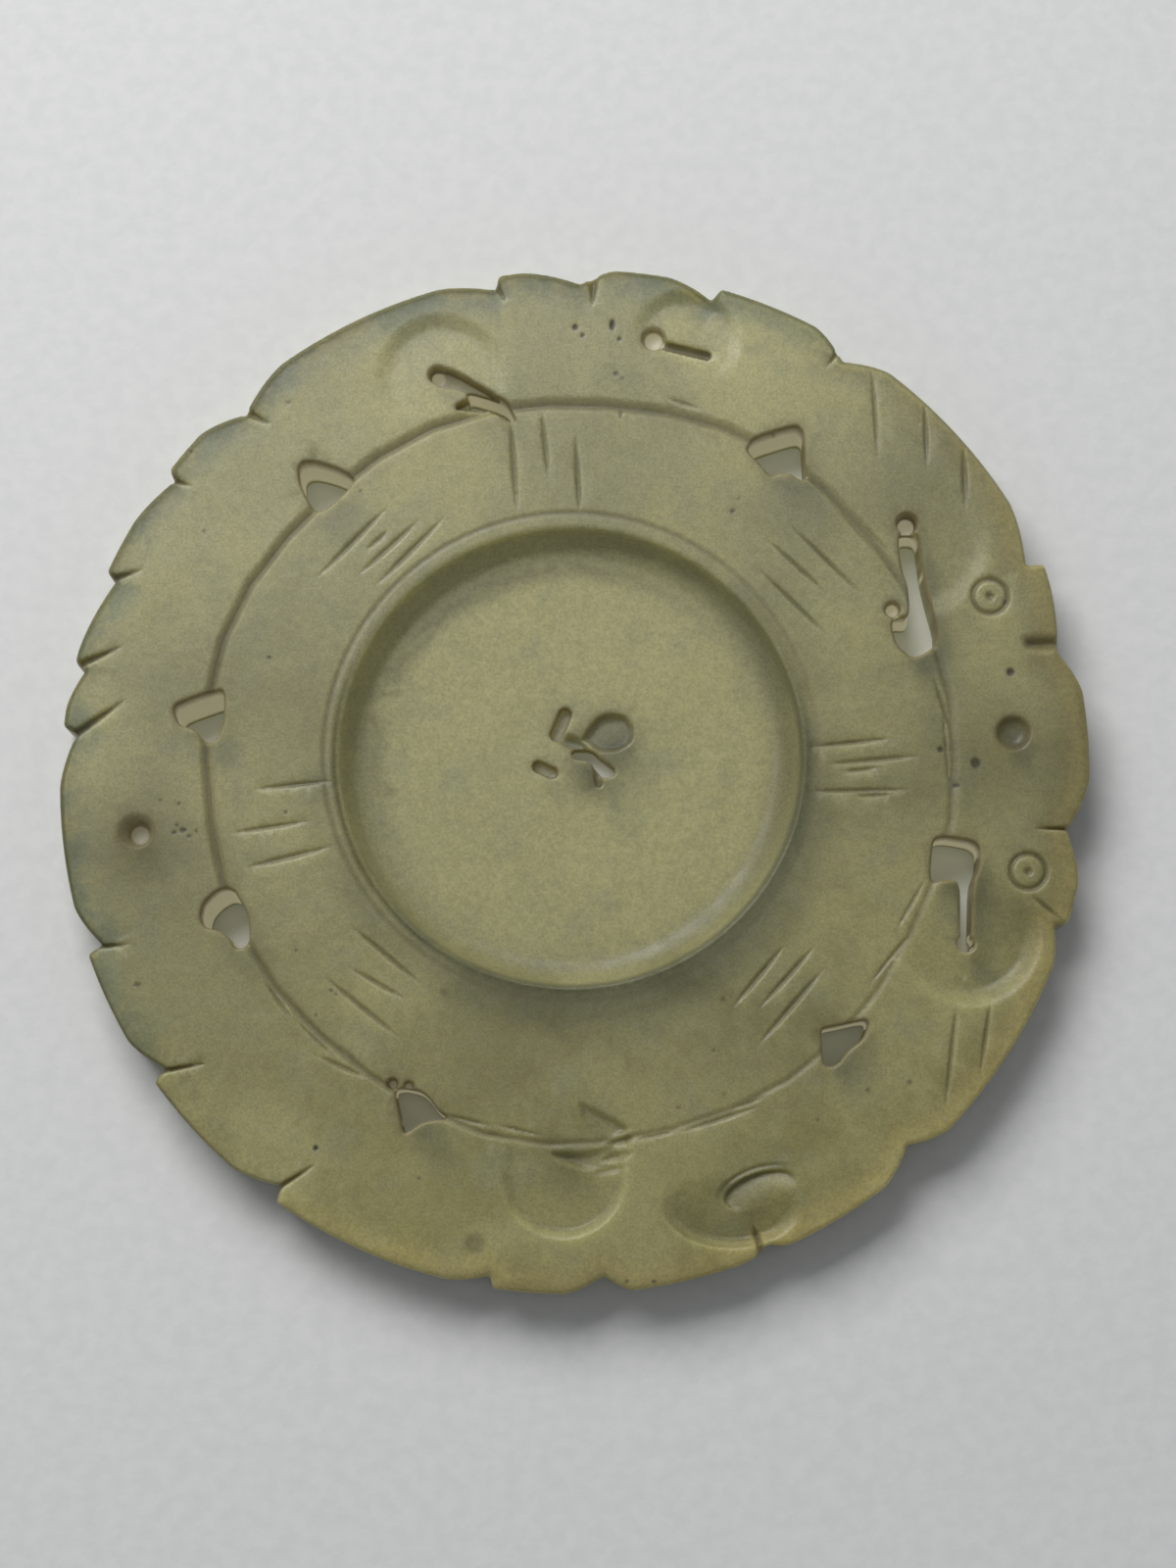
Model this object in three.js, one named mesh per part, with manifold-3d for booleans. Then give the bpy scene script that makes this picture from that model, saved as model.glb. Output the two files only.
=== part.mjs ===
// A carved jade disc: a flat round plate with a notched rim, a round sunk well in the middle, a ring round
// the well that is set off by a slanted groove, and small openings, scoops, drilled pits and wheel cuts.
// Lengths are in millimetres and angles in degrees, counter-clockwise from +X. +Z is up, out of the carved
// face. What is cut into the outer band is placed from the rim, what is cut into the ring from the well's
// edge, and what breaks through the groove from the groove, so each follows the part that it belongs to.
import * as THREE from "three";
import { mergeVertices } from "three/addons/utils/BufferGeometryUtils.js";
import Module from "manifold-3d";

const wasm = await Module();
wasm.setup();

// The plate. Its rim was ground by hand, so it swells and shrinks a little, twice in a turn.
const DISC_RADIUS = 42.6;
const THICKNESS = 5.2;
const RIM_SWELL = 0.25;
const RIM_SWELL_ANGLE = 60;
const FACE_EDGE_ROUND = 0.5;
const BACK_EDGE_ROUND = 0.6;
const RIM_STEP_ANGLE = 4;

// The well: a cove runs down from its edge to a flat floor, and a fine turned line circles it.
const WELL_CENTRE = [-0.35, 1.3];
const WELL_RADIUS = 19.2;
const WELL_DEPTH = 2.7;
const WELL_COVE_WIDTH = 2.3;
const WELL_SIDES = 72;
const WELL_LINE_GAP = 1.2;
const WELL_LINE_WIDTH = 0.7;
const WELL_LINE_DEPTH = 0.25;

// The slanted groove between the ring and the outer band, cut in short straight runs that wander a
// little. Towards the bottom of the disc it drifts outwards and gets narrower.
const RING_CENTRE = [0.3, 0.8];
const RING_RADIUS = 30;
const RING_GROOVE_WIDTH = 1.4;
const RING_GROOVE_DEPTH = 0.4;
const RING_GROOVE_FOOT = 0.2;
const RING_DRIFT = 0.8;
const RING_OUTER_DRIFT = 0.3;
const RING_WANDER = 0.2;
const RING_WANDER_TURNS = [3, 7.3];
const RING_RUNS = 38;

// Notches of the rim: the angles where each starts, is deepest and ends, and its depth.
const NOTCHES = [
  [8.8, 13.8, 23.9, 1.35],
  [24.1, 24.6, 32.2, 1.4],
  [51.8, 57.1, 62, 1.5],
  [73.3, 73.9, 79.5, 1.2],
  [85.3, 89.4, 96.2, 1.3],
  [98.6, 99.4, 106, 1.15],
  [125.3, 132.5, 138, 1.5],
  [143, 143.8, 150.5, 0.9],
  [156.7, 157.4, 166.3, 1],
  [167.6, 168.3, 173, 1],
  [174.9, 175.7, 182, 1.15],
  [195.3, 200.4, 200.9, 1.35],
  [211.3, 216.3, 216.8, 1.35],
  [229.3, 235.1, 235.6, 1.35],
  [255.8, 260.6, 261.1, 1],
  [268.8, 273.3, 276.4, 1.4],
  [289, 292, 294.4, 0.8],
  [306.3, 311.3, 316, 1.5],
  [337.5, 342, 342.8, 1.05],
  [347, 353, 359.3, 1.65],
];
const NOTCH_HOLLOW = 1.4;
const NOTCH_SAMPLES = [1, 0.6, 0.3];
const STEEP_ANGLE = 1;

// Wheel cuts that run off the rim at a notch. A wheel cut is the angle of its middle, the distance from
// there to the rim, or from the well's edge for a cut in the ring, its heading, its length and its width.
const RIM_CUT_DEPTH = 0.6;
const RIM_CUTS = [
  [58.1, -0.4, 54, 6.2, 0.7],
  [87.9, 0.6, 87, 5.2, 1],
  [99.4, 0.3, 120, 4.4, 0.7],
  [132.5, 1.1, 153, 6.2, 0.9],
  [144.1, 0.4, 161, 5.2, 0.6],
  [157.9, 0.4, 18, 7.1, 0.75],
  [167.6, 0.8, 23, 7.6, 0.75],
  [175.5, 1.5, 35, 10, 0.8],
  [200.5, 1.1, 3, 5.4, 0.5],
  [216.5, 1.1, 10, 7.7, 0.5],
  [235.1, 1.2, 32, 6.8, 0.5],
  [291, 0.4, 107, 5, 0.9],
  [353.2, 1.7, 179, 6.7, 0.4],
];

// Shallower wheel cuts that end on the face, in the outer band and in the ring.
const STROKE_DEPTH = 0.22;
const BAND_STROKES = [
  [50.3, 3.4, 93, 8.5, 0.5],
  [44, 1.9, 91, 6.3, 0.55],
  [37.3, 1.8, 91, 5.7, 0.75],
  [326.7, 2.6, 81, 6.8, 0.5],
  [322.4, 4, 83, 9.4, 0.5],
  [343.6, 2.3, 141, 4, 0.5],
];
const RING_STROKES = [
  [101.1, 5.7, 94, 9, 0.75],
  [94.8, 7, 96, 6.4, 0.65],
  [88.7, 4.3, 93, 7.6, 0.65],
  [135.6, 6.3, 46, 9.1, 0.6],
  [131, 3.9, 43, 7.7, 0.6],
  [128.1, 2.5, 46, 8.8, 0.6],
  [131.8, 5, 43, 2.8, 0.4],
  [186.3, 3.7, 6, 7.7, 0.5],
  [193.7, 6.2, 9, 7.5, 0.5],
  [200.2, 5.4, 14, 8.1, 0.65],
  [227.9, 3.2, 140, 8.5, 0.55],
  [230.2, 5.4, 150, 6, 0.5],
  [230.8, 7.7, 141, 8.7, 0.6],
  [309.9, 4.7, 50, 7.5, 0.6],
  [313.8, 6.3, 48, 7.8, 0.55],
  [310.8, 8.3, 49, 9.2, 0.65],
  [2.5, 3.9, 6, 7.8, 0.5],
  [359, 5.7, 5, 8.6, 0.55],
  [357, 4.7, 5, 3.4, 0.4],
  [352.9, 4.8, 1, 9.3, 0.5],
  [352.3, 5.9, 2, 3.8, 0.4],
  [37.7, 7.6, 135, 9.3, 0.55],
  [39.9, 5.4, 137, 7.3, 0.5],
  [34.2, 3.3, 135, 9.2, 0.5],
];

// Scoops of the band: angle and distance from the rim, half sizes, depth, and the side of the steep arc,
// to which the flat cut slants down.
const SCOOP_WALL = 0.5;
const SCOOP_SIDES = 36;
const SCOOPS = [
  [108.6, 7.6, 5, 5, 0.7, 95],
  [75.7, 5.2, 4.2, 4.1, 0.6, 75],
  [34, 8.5, 5.4, 5.5, 0.8, 350],
  [337.3, 7.6, 5.3, 5.5, 1.2, 290],
  [268.4, 9.6, 4.8, 4.9, 1, 270],
  [289.6, 4.7, 5, 2.9, 1.2, 275],
  [293.6, 5.1, 2.9, 1.4, 0.9, 110],
];

// Openings through the groove. Each lies at an angle and a distance out from the ring's edge, and its
// outline, from there, narrows on the way down to a share of its size. Its pits are drilled from the face.
const OPENING_SHARE = 0.85;
const OPENINGS = [
  {
    at: [134.6, 0.6],
    pits: [],
    outline: [
      [-1.9, 2.8], [-1.4, 3.5], [-0.5, 3.5], [1.4, 2.9], [2.9, 2],
      [2, 0.8], [0.9, -0.2], [0.1, -0.8], [-0.6, -0.6], [-1.3, 0.6],
    ],
  },
  {
    at: [103.7, 0.9],
    pits: [[-4.5, 2.7, 0.75, 2.2]],
    outline: [
      [-2.2, 1.7], [0.7, 0.8], [1.4, 0.2], [2.1, -1.3], [1.5, -1.4],
      [-0.1, -0.3], [-0.8, -0.5], [-1.7, -0.3], [-1.8, 0.7],
    ],
  },
  {
    at: [54.7, 1.4],
    pits: [],
    outline: [
      [-4.1, 0.7], [-3.6, 1.6], [-2.5, 2], [-0.6, 2.6], [0.3, 2.7], [0.7, 1.8], [0.8, -1.9],
      [0.2, -1.9], [-0.4, -1.4], [-1.3, -1.3], [-2.1, -1.7], [-3, -0.6],
    ],
  },
  {
    at: [22.6, 0.7],
    pits: [[-1, 8.2, 0.9, 2.4], [-2.3, 0.9, 0.65, 2]],
    outline: [
      [-1.6, 7.2], [-0.2, 7.2], [0.2, 3.9], [0.7, 1.7], [1.4, -0.6], [1.4, -1.9], [0.4, -2.8],
      [-0.8, -3.2], [-2, -2.1], [-2.4, -0.6], [-2.2, 0.3], [-0.9, 0.2], [-0.6, 2.7], [-1.1, 4.3],
    ],
  },
  {
    at: [342.8, 3.1],
    pits: [[0.15, -5.3, 0.75, 3.6]],
    outline: [
      [-2.6, 2.3], [-2.4, 3.3], [-1.4, 3.5], [1.3, 3], [1.3, 1], [0.7, -0.5], [0.7, -5.3],
      [-0.5, -5.3], [-0.4, -0.1], [-1.8, -0.1], [-2.5, -0.4], [-2.8, 0.3],
    ],
  },
  {
    at: [175.3, 0.2],
    pits: [],
    outline: [
      [-3.4, 1.8], [-3.1, 2.3], [-0.4, 3.3], [0.5, 3.5], [0.8, 3],
      [0.8, 0.6], [0.1, -0.9], [-0.8, -0.9], [-1.5, 0.1], [-2.9, 0.5],
    ],
  },
  {
    at: [207.1, 1.2],
    pits: [],
    outline: [
      [-3.2, 1.2], [-3, 2.3], [-2.2, 3.2], [-1.3, 3.7], [-0.5, 3.5], [0.1, 2.5], [0.7, 1.5],
      [0.9, -0.6], [0.4, -1.3], [-0.3, -1.3], [-0.8, -0.4], [-1.8, 0.2], [-2.8, 0.4],
    ],
  },
  {
    at: [245.9, 2.1],
    pits: [[-2, 2.7, 0.45, 1], [-0.7, 2.5, 0.4, 0.9]],
    outline: [
      [-1.9, 2.2], [-1.1, 2.4], [0.3, 2.1], [1, 1.5], [1.6, 0.6],
      [2.5, -0.1], [0.5, -0.4], [-0.4, -1], [-1.1, -1.4], [-1.4, 0],
    ],
  },
  {
    at: [310.7, 1.8],
    pits: [],
    outline: [
      [-1, 2], [0.1, 2.2], [2.7, 2.8], [2.9, 2.3], [2.4, 1.1],
      [1.3, 0.3], [0.5, -0.7], [0, -1.1], [-0.8, -1], [-0.9, 0.4],
    ],
  },
];

// A slot with a floor that runs into the second of those openings, placed as it is.
const SIDE_SLOT_DEPTH = 2;
const SIDE_SLOT = {
  at: [103.7, 0.9],
  share: 0.9,
  outline: [
    [-4.7, 3.2], [-3.6, 3.3], [-1.3, 2], [0.7, 0.8], [0, -0.4], [-2.9, -0.4],
    [-3, 0.1], [-1.8, 0.7], [-2.2, 1.3], [-3.7, 1.6], [-4.7, 1.9],
  ],
};

// A recess with a floor where the groove crosses the bottom of the disc, placed as the openings are.
const RECESS_DEPTH = 1.3;
const RECESS = {
  at: [273.1, 1.3],
  share: 0.75,
  outline: [[-1.9, 3.4], [-1.4, 1.3], [-4.3, -0.8], [-0.9, -2.6], [2.2, -2.4], [2.9, 1.4]],
};

// The mouth of the upper head, cut in from the rim, placed by its angle and its distance from the rim.
const MOUTH_DEPTH = 1.2;
const MOUTH = {
  at: [15.5, 3],
  share: 0.6,
  outline: [[-1.4, 1.1], [-1.3, -0.8], [1.4, -0.9], [4.4, 0.1], [4, 0.9]],
};

// Pits drilled in the band: angle, distance from the rim, radius and depth.
const BAND_PITS = [
  [79.8, 5.4, 0.95, 1.6],
  [188.1, 6.2, 1.6, 0.6],
  [188.4, 6.4, 0.95, 1.7],
  [4.9, 6.3, 1.3, 1.3],
  [331.7, 6.3, 0.35, 1.2],
];

// A short slot beside the first of those pits: the angle and distance from the rim of its middle, its
// heading, length, radius and depth.
const SLOT = [75.5, 5.8, 166, 3.7, 0.4, 0.9];

// Eyes of the two small heads at the rim: a ring cut by a tube drill, round a dot.
const EYES = [[23, 5.2], [347.3, 4.5]];
const EYE_RADIUS = 1.45;
const EYE_LINE_WIDTH = 0.5;
const EYE_LINE_DEPTH = 0.3;
const EYE_DOT_RADIUS = 0.45;
const EYE_SIDES = 18;

// The ragged piercing of the well's floor, from the well's centre: pits with radius and depth below the
// floor, a shallow arm, and an arm that goes right through.
const FLOOR_PITS = [
  [-0.9, 3, 0.6, 1.3],
  [-0.8, 2.1, 0.5, 1.3],
  [-2.4, -1.1, 0.65, 1.2],
  [-1.3, -0.5, 0.6, 1.1],
  [0.5, 0.2, 1.1, 1.2],
  [1.2, -1.9, 0.75, 1.1],
];
const FLOOR_ARM_DEPTH = 1.1;
const FLOOR_ARM = {
  at: [3, 1.7],
  share: 0.8,
  outline: [[-2.5, -0.6], [-0.8, -1.4], [1.6, -1], [2.1, 0.6], [1.6, 1.6], [-0.6, 1.7]],
};
const FLOOR_OPENING = {
  at: [2.6, -0.8],
  share: 0.55,
  outline: [[-1.8, 0.5], [-1.1, -0.7], [0.2, -1.2], [1, -0.2], [-0.4, 1.2]],
};

// Tools start this far above the face. The edge of a cutting wheel is made to this many times the cut's
// depth and width, and the wheel has a number of facets along the cut.
const CLEAR = 1;
const WHEEL_EDGE = 3;
const WHEEL_FACETS = 5;
const WHEEL_LEAST_SIDES = 24;
const DRILL_TAPER = 0.85;
const DRILL_SIDES = 14;
const COLOUR = 0x918f68;
const ROUGHNESS = 0.45;

const radians = THREE.MathUtils.degToRad;

function polar(angle, radius, [x, y] = [0, 0]) {
  return [x + radius * Math.cos(radians(angle)), y + radius * Math.sin(radians(angle))];
}

const fromRim = (angle, inset) => polar(angle, DISC_RADIUS - inset);
const fromWell = (angle, out) => polar(angle, WELL_RADIUS + out, WELL_CENTRE);
const fromRing = (angle, out) => polar(angle, RING_RADIUS + out, RING_CENTRE);
const fromWellCentre = (x, y) => [WELL_CENTRE[0] + x, WELL_CENTRE[1] + y];

function solid(geometry) {
  const bare = geometry.clone();
  bare.deleteAttribute("normal");
  bare.deleteAttribute("uv");
  const merged = mergeVertices(bare, 1e-4);
  return new wasm.Manifold(
    new wasm.Mesh({
      numProp: 3,
      vertProperties: merged.attributes.position.array,
      triVerts: new Uint32Array(merged.index.array),
    }),
  );
}

function geometryOf(shape) {
  const { vertProperties, triVerts } = shape.getMesh();
  const geometry = new THREE.BufferGeometry();
  geometry.setAttribute("position", new THREE.BufferAttribute(vertProperties, 3));
  geometry.setIndex(new THREE.BufferAttribute(triVerts, 1));
  geometry.computeVertexNormals();
  return geometry;
}

// A body turned round Z at the given angles. radiusOf gives each profile point its radius at an angle.
function turned(profile, angles, centre = [0, 0], radiusOf = ([radius]) => radius) {
  const points = profile.map(([radius, height]) => new THREE.Vector2(radius, height));
  const lathe = new THREE.LatheGeometry(points, angles.length);
  const place = lathe.attributes.position;
  for (let i = 0; i < place.count; i++) {
    const angle = angles[Math.floor(i / profile.length) % angles.length];
    const point = profile[i % profile.length];
    const radius = point[0] > 0 ? radiusOf(point, angle) : 0;
    place.setXYZ(i, ...polar(angle, radius, centre), point[1]);
  }
  return solid(lathe);
}

const evenAngles = (count) => Array.from({ length: count }, (_, i) => (360 * i) / count);

// How far a notch cuts in at an angle: deepest at its bottom, and hollow on the way out of it.
function notchDepth([start, bottom, end, depth], angle) {
  if (angle <= start || angle >= end) return 0;
  const away = angle < bottom ? (bottom - angle) / (bottom - start) : (angle - bottom) / (end - bottom);
  return depth * (1 - away) ** NOTCH_HOLLOW;
}

function rimRadius(angle) {
  const swell = RIM_SWELL * Math.cos(2 * radians(angle - RIM_SWELL_ANGLE));
  const cut = NOTCHES.reduce((most, notch) => Math.max(most, notchDepth(notch, angle)), 0);
  return DISC_RADIUS + swell - cut;
}

// The angles that the rim needs: an even round, and closer ones on each side of a notch.
function rimAngles() {
  const angles = [];
  for (const [start, bottom, end] of NOTCHES) {
    angles.push(bottom);
    for (const side of [start, end]) {
      const samples = Math.abs(side - bottom) < STEEP_ANGLE ? [1] : NOTCH_SAMPLES;
      samples.forEach((share) => angles.push(bottom + (side - bottom) * share));
    }
  }
  const near = (angle) => NOTCHES.some(([start, , end]) => angle > start - 1 && angle < end + 1);
  for (let angle = 0; angle < 360; angle += RIM_STEP_ANGLE) if (!near(angle)) angles.push(angle);
  return angles.sort((a, b) => a - b);
}

// The plate: every meridian has the same rounded edge, set in from the rim at its own angle.
function plate() {
  const quarter = [0, Math.PI / 4, Math.PI / 2];
  const back = quarter.map((a) => [
    DISC_RADIUS - BACK_EDGE_ROUND * (1 - Math.sin(a)),
    BACK_EDGE_ROUND * (1 - Math.cos(a)),
  ]);
  const face = quarter.map((a) => [
    DISC_RADIUS - FACE_EDGE_ROUND * (1 - Math.cos(a)),
    THICKNESS - FACE_EDGE_ROUND * (1 - Math.sin(a)),
  ]);
  const profile = [[0, 0], ...back, ...face, [0, THICKNESS]];
  return turned(profile, rimAngles(), [0, 0], ([radius], angle) => radius - DISC_RADIUS + rimRadius(angle));
}

function well() {
  const floor = THICKNESS - WELL_DEPTH;
  const top = THICKNESS + CLEAR;
  const cove = [0, 1 / 3, 2 / 3, 1].map((share) => {
    const a = (share * Math.PI) / 2;
    return [WELL_RADIUS - WELL_COVE_WIDTH * (1 - Math.sin(a)), THICKNESS - WELL_DEPTH * Math.cos(a)];
  });
  return turned([[0, floor], ...cove, [WELL_RADIUS, top], [0, top]], evenAngles(WELL_SIDES), WELL_CENTRE);
}

// The closed section of a groove that runs round: it dips to its foot and stays open above the face.
function grooveSection(inner, foot, outer, depth) {
  const start = [foot, THICKNESS - depth];
  const top = THICKNESS + CLEAR;
  return [start, [outer, THICKNESS], [outer, top], [inner, top], [inner, THICKNESS], start];
}

function wellLine() {
  const middle = WELL_RADIUS + WELL_LINE_GAP;
  const half = WELL_LINE_WIDTH / 2;
  const section = grooveSection(middle - half, middle, middle + half, WELL_LINE_DEPTH);
  return turned(section, evenAngles(WELL_SIDES), WELL_CENTRE);
}

function ringGroove() {
  const outer = RING_RADIUS + RING_GROOVE_WIDTH;
  const section = grooveSection(RING_RADIUS, RING_RADIUS + RING_GROOVE_FOOT, outer, RING_GROOVE_DEPTH);
  const radiusOf = ([radius], angle) => {
    const low = (1 - Math.sin(radians(angle))) / 2;
    const share = (radius - RING_RADIUS) / RING_GROOVE_WIDTH;
    const drift = low * THREE.MathUtils.lerp(RING_DRIFT, RING_OUTER_DRIFT, share);
    const [slow, fast] = RING_WANDER_TURNS;
    const wander = Math.sin(radians(slow * angle)) + Math.sin(radians(fast * angle));
    return radius + drift + RING_WANDER * wander;
  };
  return turned(section, evenAngles(RING_RUNS), RING_CENTRE, radiusOf);
}

// A straight cut by the thin edge of a wheel that stands on edge along the heading.
function wheelCut([x, y], heading, length, width, depth) {
  const radius = length ** 2 / (8 * depth) + depth / 2;
  const halfReach = Math.asin(length / 2 / radius);
  const sides = Math.max(WHEEL_LEAST_SIDES, Math.round((WHEEL_FACETS * Math.PI) / halfReach));
  const shoulder = radius - WHEEL_EDGE * depth;
  const half = (WHEEL_EDGE * width) / 2;
  const profile = [[0, -half], [shoulder, -half], [radius, 0], [shoulder, half], [0, half]];
  const wheel = new THREE.LatheGeometry(profile.map(([r, h]) => new THREE.Vector2(r, h)), sides);
  wheel.rotateZ(radians(heading));
  wheel.translate(x, y, THICKNESS + radius - depth);
  return solid(wheel);
}

// A straight-sided cut from above the face down to a floor, narrowing as it goes.
function taperedCut([x, y], { outline, share }, floor) {
  const shape = new THREE.Shape(outline.map(([px, py]) => new THREE.Vector2(px, py)));
  const top = THICKNESS + CLEAR;
  const cut = new THREE.ExtrudeGeometry(shape, { depth: top - floor, bevelEnabled: false });
  const place = cut.attributes.position;
  const grow = 1 + ((1 - share) * CLEAR) / (THICKNESS - floor);
  for (let i = 0; i < place.count; i++) {
    const high = place.getZ(i) > 0;
    const size = high ? grow : share;
    place.setXYZ(i, x + place.getX(i) * size, y + place.getY(i) * size, high ? top : floor);
  }
  return solid(cut);
}

function drilled([x, y], radius, depth) {
  const pin = new THREE.CylinderGeometry(radius, radius * DRILL_TAPER, depth + CLEAR, DRILL_SIDES);
  pin.rotateX(Math.PI / 2);
  pin.translate(x, y, THICKNESS + (CLEAR - depth) / 2);
  return solid(pin);
}

function openings() {
  return OPENINGS.flatMap((opening) => {
    const [x, y] = fromRing(...opening.at);
    const pits = opening.pits.map(([px, py, radius, depth]) => drilled([x + px, y + py], radius, depth));
    const through = taperedCut([x, y], { ...opening, share: OPENING_SHARE }, -CLEAR);
    return [through, ...pits];
  });
}

function floorPiercing() {
  const pits = FLOOR_PITS.map(([x, y, radius, depth]) =>
    drilled(fromWellCentre(x, y), radius, WELL_DEPTH + depth),
  );
  const armFloor = THICKNESS - WELL_DEPTH - FLOOR_ARM_DEPTH;
  const arm = taperedCut(fromWellCentre(...FLOOR_ARM.at), FLOOR_ARM, armFloor);
  return [...pits, arm, taperedCut(fromWellCentre(...FLOOR_OPENING.at), FLOOR_OPENING, -CLEAR)];
}

function roundEndedSlot([angle, inset, heading, length, radius, depth]) {
  const [x, y] = fromRim(angle, inset);
  const slot = new THREE.Shape();
  slot.absarc(length / 2, 0, radius, -Math.PI / 2, Math.PI / 2, false);
  slot.absarc(-length / 2, 0, radius, Math.PI / 2, (3 * Math.PI) / 2, false);
  const settings = { depth: depth + CLEAR, bevelEnabled: false, curveSegments: 6 };
  const cut = new THREE.ExtrudeGeometry(slot, settings);
  cut.rotateZ(radians(heading));
  cut.translate(x, y, THICKNESS - depth);
  return solid(cut);
}

function scoop([angle, inset, halfX, halfY, depth, steepAngle]) {
  const [x, y] = fromRim(angle, inset);
  const cut = new THREE.CylinderGeometry(1, 1, 1, SCOOP_SIDES);
  cut.rotateX(Math.PI / 2);
  const place = cut.attributes.position;
  const [steepX, steepY] = polar(steepAngle, 1);
  for (let i = 0; i < place.count; i++) {
    const [px, py] = [place.getX(i), place.getY(i)];
    const high = place.getZ(i) > 0;
    const spread = ((high ? 1 : -1) * SCOOP_WALL) / 2;
    const floor = THICKNESS - (depth * (1 + px * steepX + py * steepY)) / 2;
    const height = high ? THICKNESS + CLEAR : floor;
    place.setXYZ(i, x + px * (halfX + spread), y + py * (halfY + spread), height);
  }
  return solid(cut);
}

function eye([angle, inset]) {
  const centre = fromRim(angle, inset);
  const half = EYE_LINE_WIDTH / 2;
  const section = grooveSection(EYE_RADIUS - half, EYE_RADIUS, EYE_RADIUS + half, EYE_LINE_DEPTH);
  return turned(section, evenAngles(EYE_SIDES), centre).add(drilled(centre, EYE_DOT_RADIUS, EYE_LINE_DEPTH));
}

function carvedDisc() {
  const bandCut = (depth) => ([angle, inset, ...cut]) => wheelCut(fromRim(angle, inset), ...cut, depth);
  const cuts = [
    well(),
    wellLine(),
    ringGroove(),
    ...RIM_CUTS.map(bandCut(RIM_CUT_DEPTH)),
    ...BAND_STROKES.map(bandCut(STROKE_DEPTH)),
    ...RING_STROKES.map(([angle, out, ...cut]) => wheelCut(fromWell(angle, out), ...cut, STROKE_DEPTH)),
    ...SCOOPS.map(scoop),
    ...openings(),
    taperedCut(fromRing(...RECESS.at), RECESS, THICKNESS - RECESS_DEPTH),
    taperedCut(fromRing(...SIDE_SLOT.at), SIDE_SLOT, THICKNESS - SIDE_SLOT_DEPTH),
    taperedCut(fromRim(...MOUTH.at), MOUTH, THICKNESS - MOUTH_DEPTH),
    ...BAND_PITS.map(([angle, inset, radius, depth]) => drilled(fromRim(angle, inset), radius, depth)),
    roundEndedSlot(SLOT),
    ...EYES.map(eye),
    ...floorPiercing(),
  ];
  return cuts.reduce((stone, cut) => stone.subtract(cut), plate());
}

// The disc lies on its flat back, with the middle of its outline over the origin.
const geometry = geometryOf(carvedDisc());
geometry.computeBoundingBox();
const middle = geometry.boundingBox.getCenter(new THREE.Vector3());
const disc = new THREE.Mesh(
  geometry,
  new THREE.MeshStandardMaterial({ color: COLOUR, roughness: ROUGHNESS, metalness: 0 }),
);
disc.name = "jade_disc";
disc.position.set(-middle.x, -middle.y, 0);

const group = new THREE.Group();
group.add(disc);

export default group;
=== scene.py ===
"""The carved jade disc of the photograph: an olive-green plate with wheel cuts, scoops and pits."""
import math

import bpy
import numpy as np
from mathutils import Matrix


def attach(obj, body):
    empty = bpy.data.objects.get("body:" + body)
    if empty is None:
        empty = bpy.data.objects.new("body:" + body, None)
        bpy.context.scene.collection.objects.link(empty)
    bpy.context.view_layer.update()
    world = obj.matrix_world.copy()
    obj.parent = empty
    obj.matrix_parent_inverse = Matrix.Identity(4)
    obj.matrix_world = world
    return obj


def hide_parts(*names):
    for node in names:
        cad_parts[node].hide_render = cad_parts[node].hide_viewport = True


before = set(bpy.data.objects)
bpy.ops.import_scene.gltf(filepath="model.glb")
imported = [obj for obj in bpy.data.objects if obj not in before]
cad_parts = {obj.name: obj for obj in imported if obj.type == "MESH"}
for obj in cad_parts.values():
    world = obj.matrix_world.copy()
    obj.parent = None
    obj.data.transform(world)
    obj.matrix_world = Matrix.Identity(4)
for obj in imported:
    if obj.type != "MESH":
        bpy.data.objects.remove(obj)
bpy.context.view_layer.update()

# Lengths are millimetres and angles degrees, counter-clockwise from +X, until the mesh is made in metres.
# The tables repeat the solid's, so each cut lies where the solid has it.
MM = 0.001
MIDDLE = (-0.005, 0.055)
DISC_RADIUS = 42.6
THICKNESS = 5.2
RIM_SWELL = 0.25
RIM_SWELL_ANGLE = 60
FACE_EDGE_ROUND = 0.45
BACK_EDGE_ROUND = 0.6
RIM_THINNING = 0.12
RIM_THINNING_WIDTH = 3.5
WELL_EDGE_ROUND = 0.2
HOLLOW_EDGE_ROUND = 0.12
SPECK_DEPTH = 0.08
# The waves of hand-ground faces: height, seed, and the shortest and longest wave.
FACE_WAVES = [(0.03, 3, 9, 22), (0.012, 5, 3, 7)]
WELL_FLOOR_WAVES = (0.03, 8, 7, 16)
# The rim's outline: the step from point to point, how far and how strongly it is smoothed, in steps, and how
# near it the distance is measured exactly, with how many points to each side.
RIM_STEP = 0.045
RIM_SMOOTH_REACH = 12
RIM_SMOOTHING = 4
RIM_NEAR = 2.2
RIM_SEARCH = 66
RIM_STRIDE = 3
# How much of each side a worn outline loses at a corner.
CORNER_WEAR = 0.2

WELL_CENTRE = (-0.35, 1.3)
WELL_RADIUS = 19.2
WELL_DEPTH = 2.7
# The well's wall is straight with a sharp foot on the side of WELL_SHARP_SIDE, and a wide cove opposite.
WELL_SHARP_SIDE = 135
WELL_WALL_RUN = (1.6, 0.5)
WELL_FOOT_ROUND = (0.15, 2.3)
# Turned lines round the well, fading towards the cove: distance from the edge, width and depth.
WELL_LINES = [(1.2, 0.7, 0.07)]

RING_CENTRE = (0.3, 0.8)
RING_RADIUS = 30
RING_GROOVE_WIDTH = 1.4
RING_GROOVE_DEPTH = 0.4
RING_GROOVE_FOOT = 0.4
RING_DRIFT = 0.8
RING_OUTER_DRIFT = 0.3
RING_WANDER = 0.2
RING_WANDER_TURNS = (3, 7.3)
RING_RUNS = 38
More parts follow.
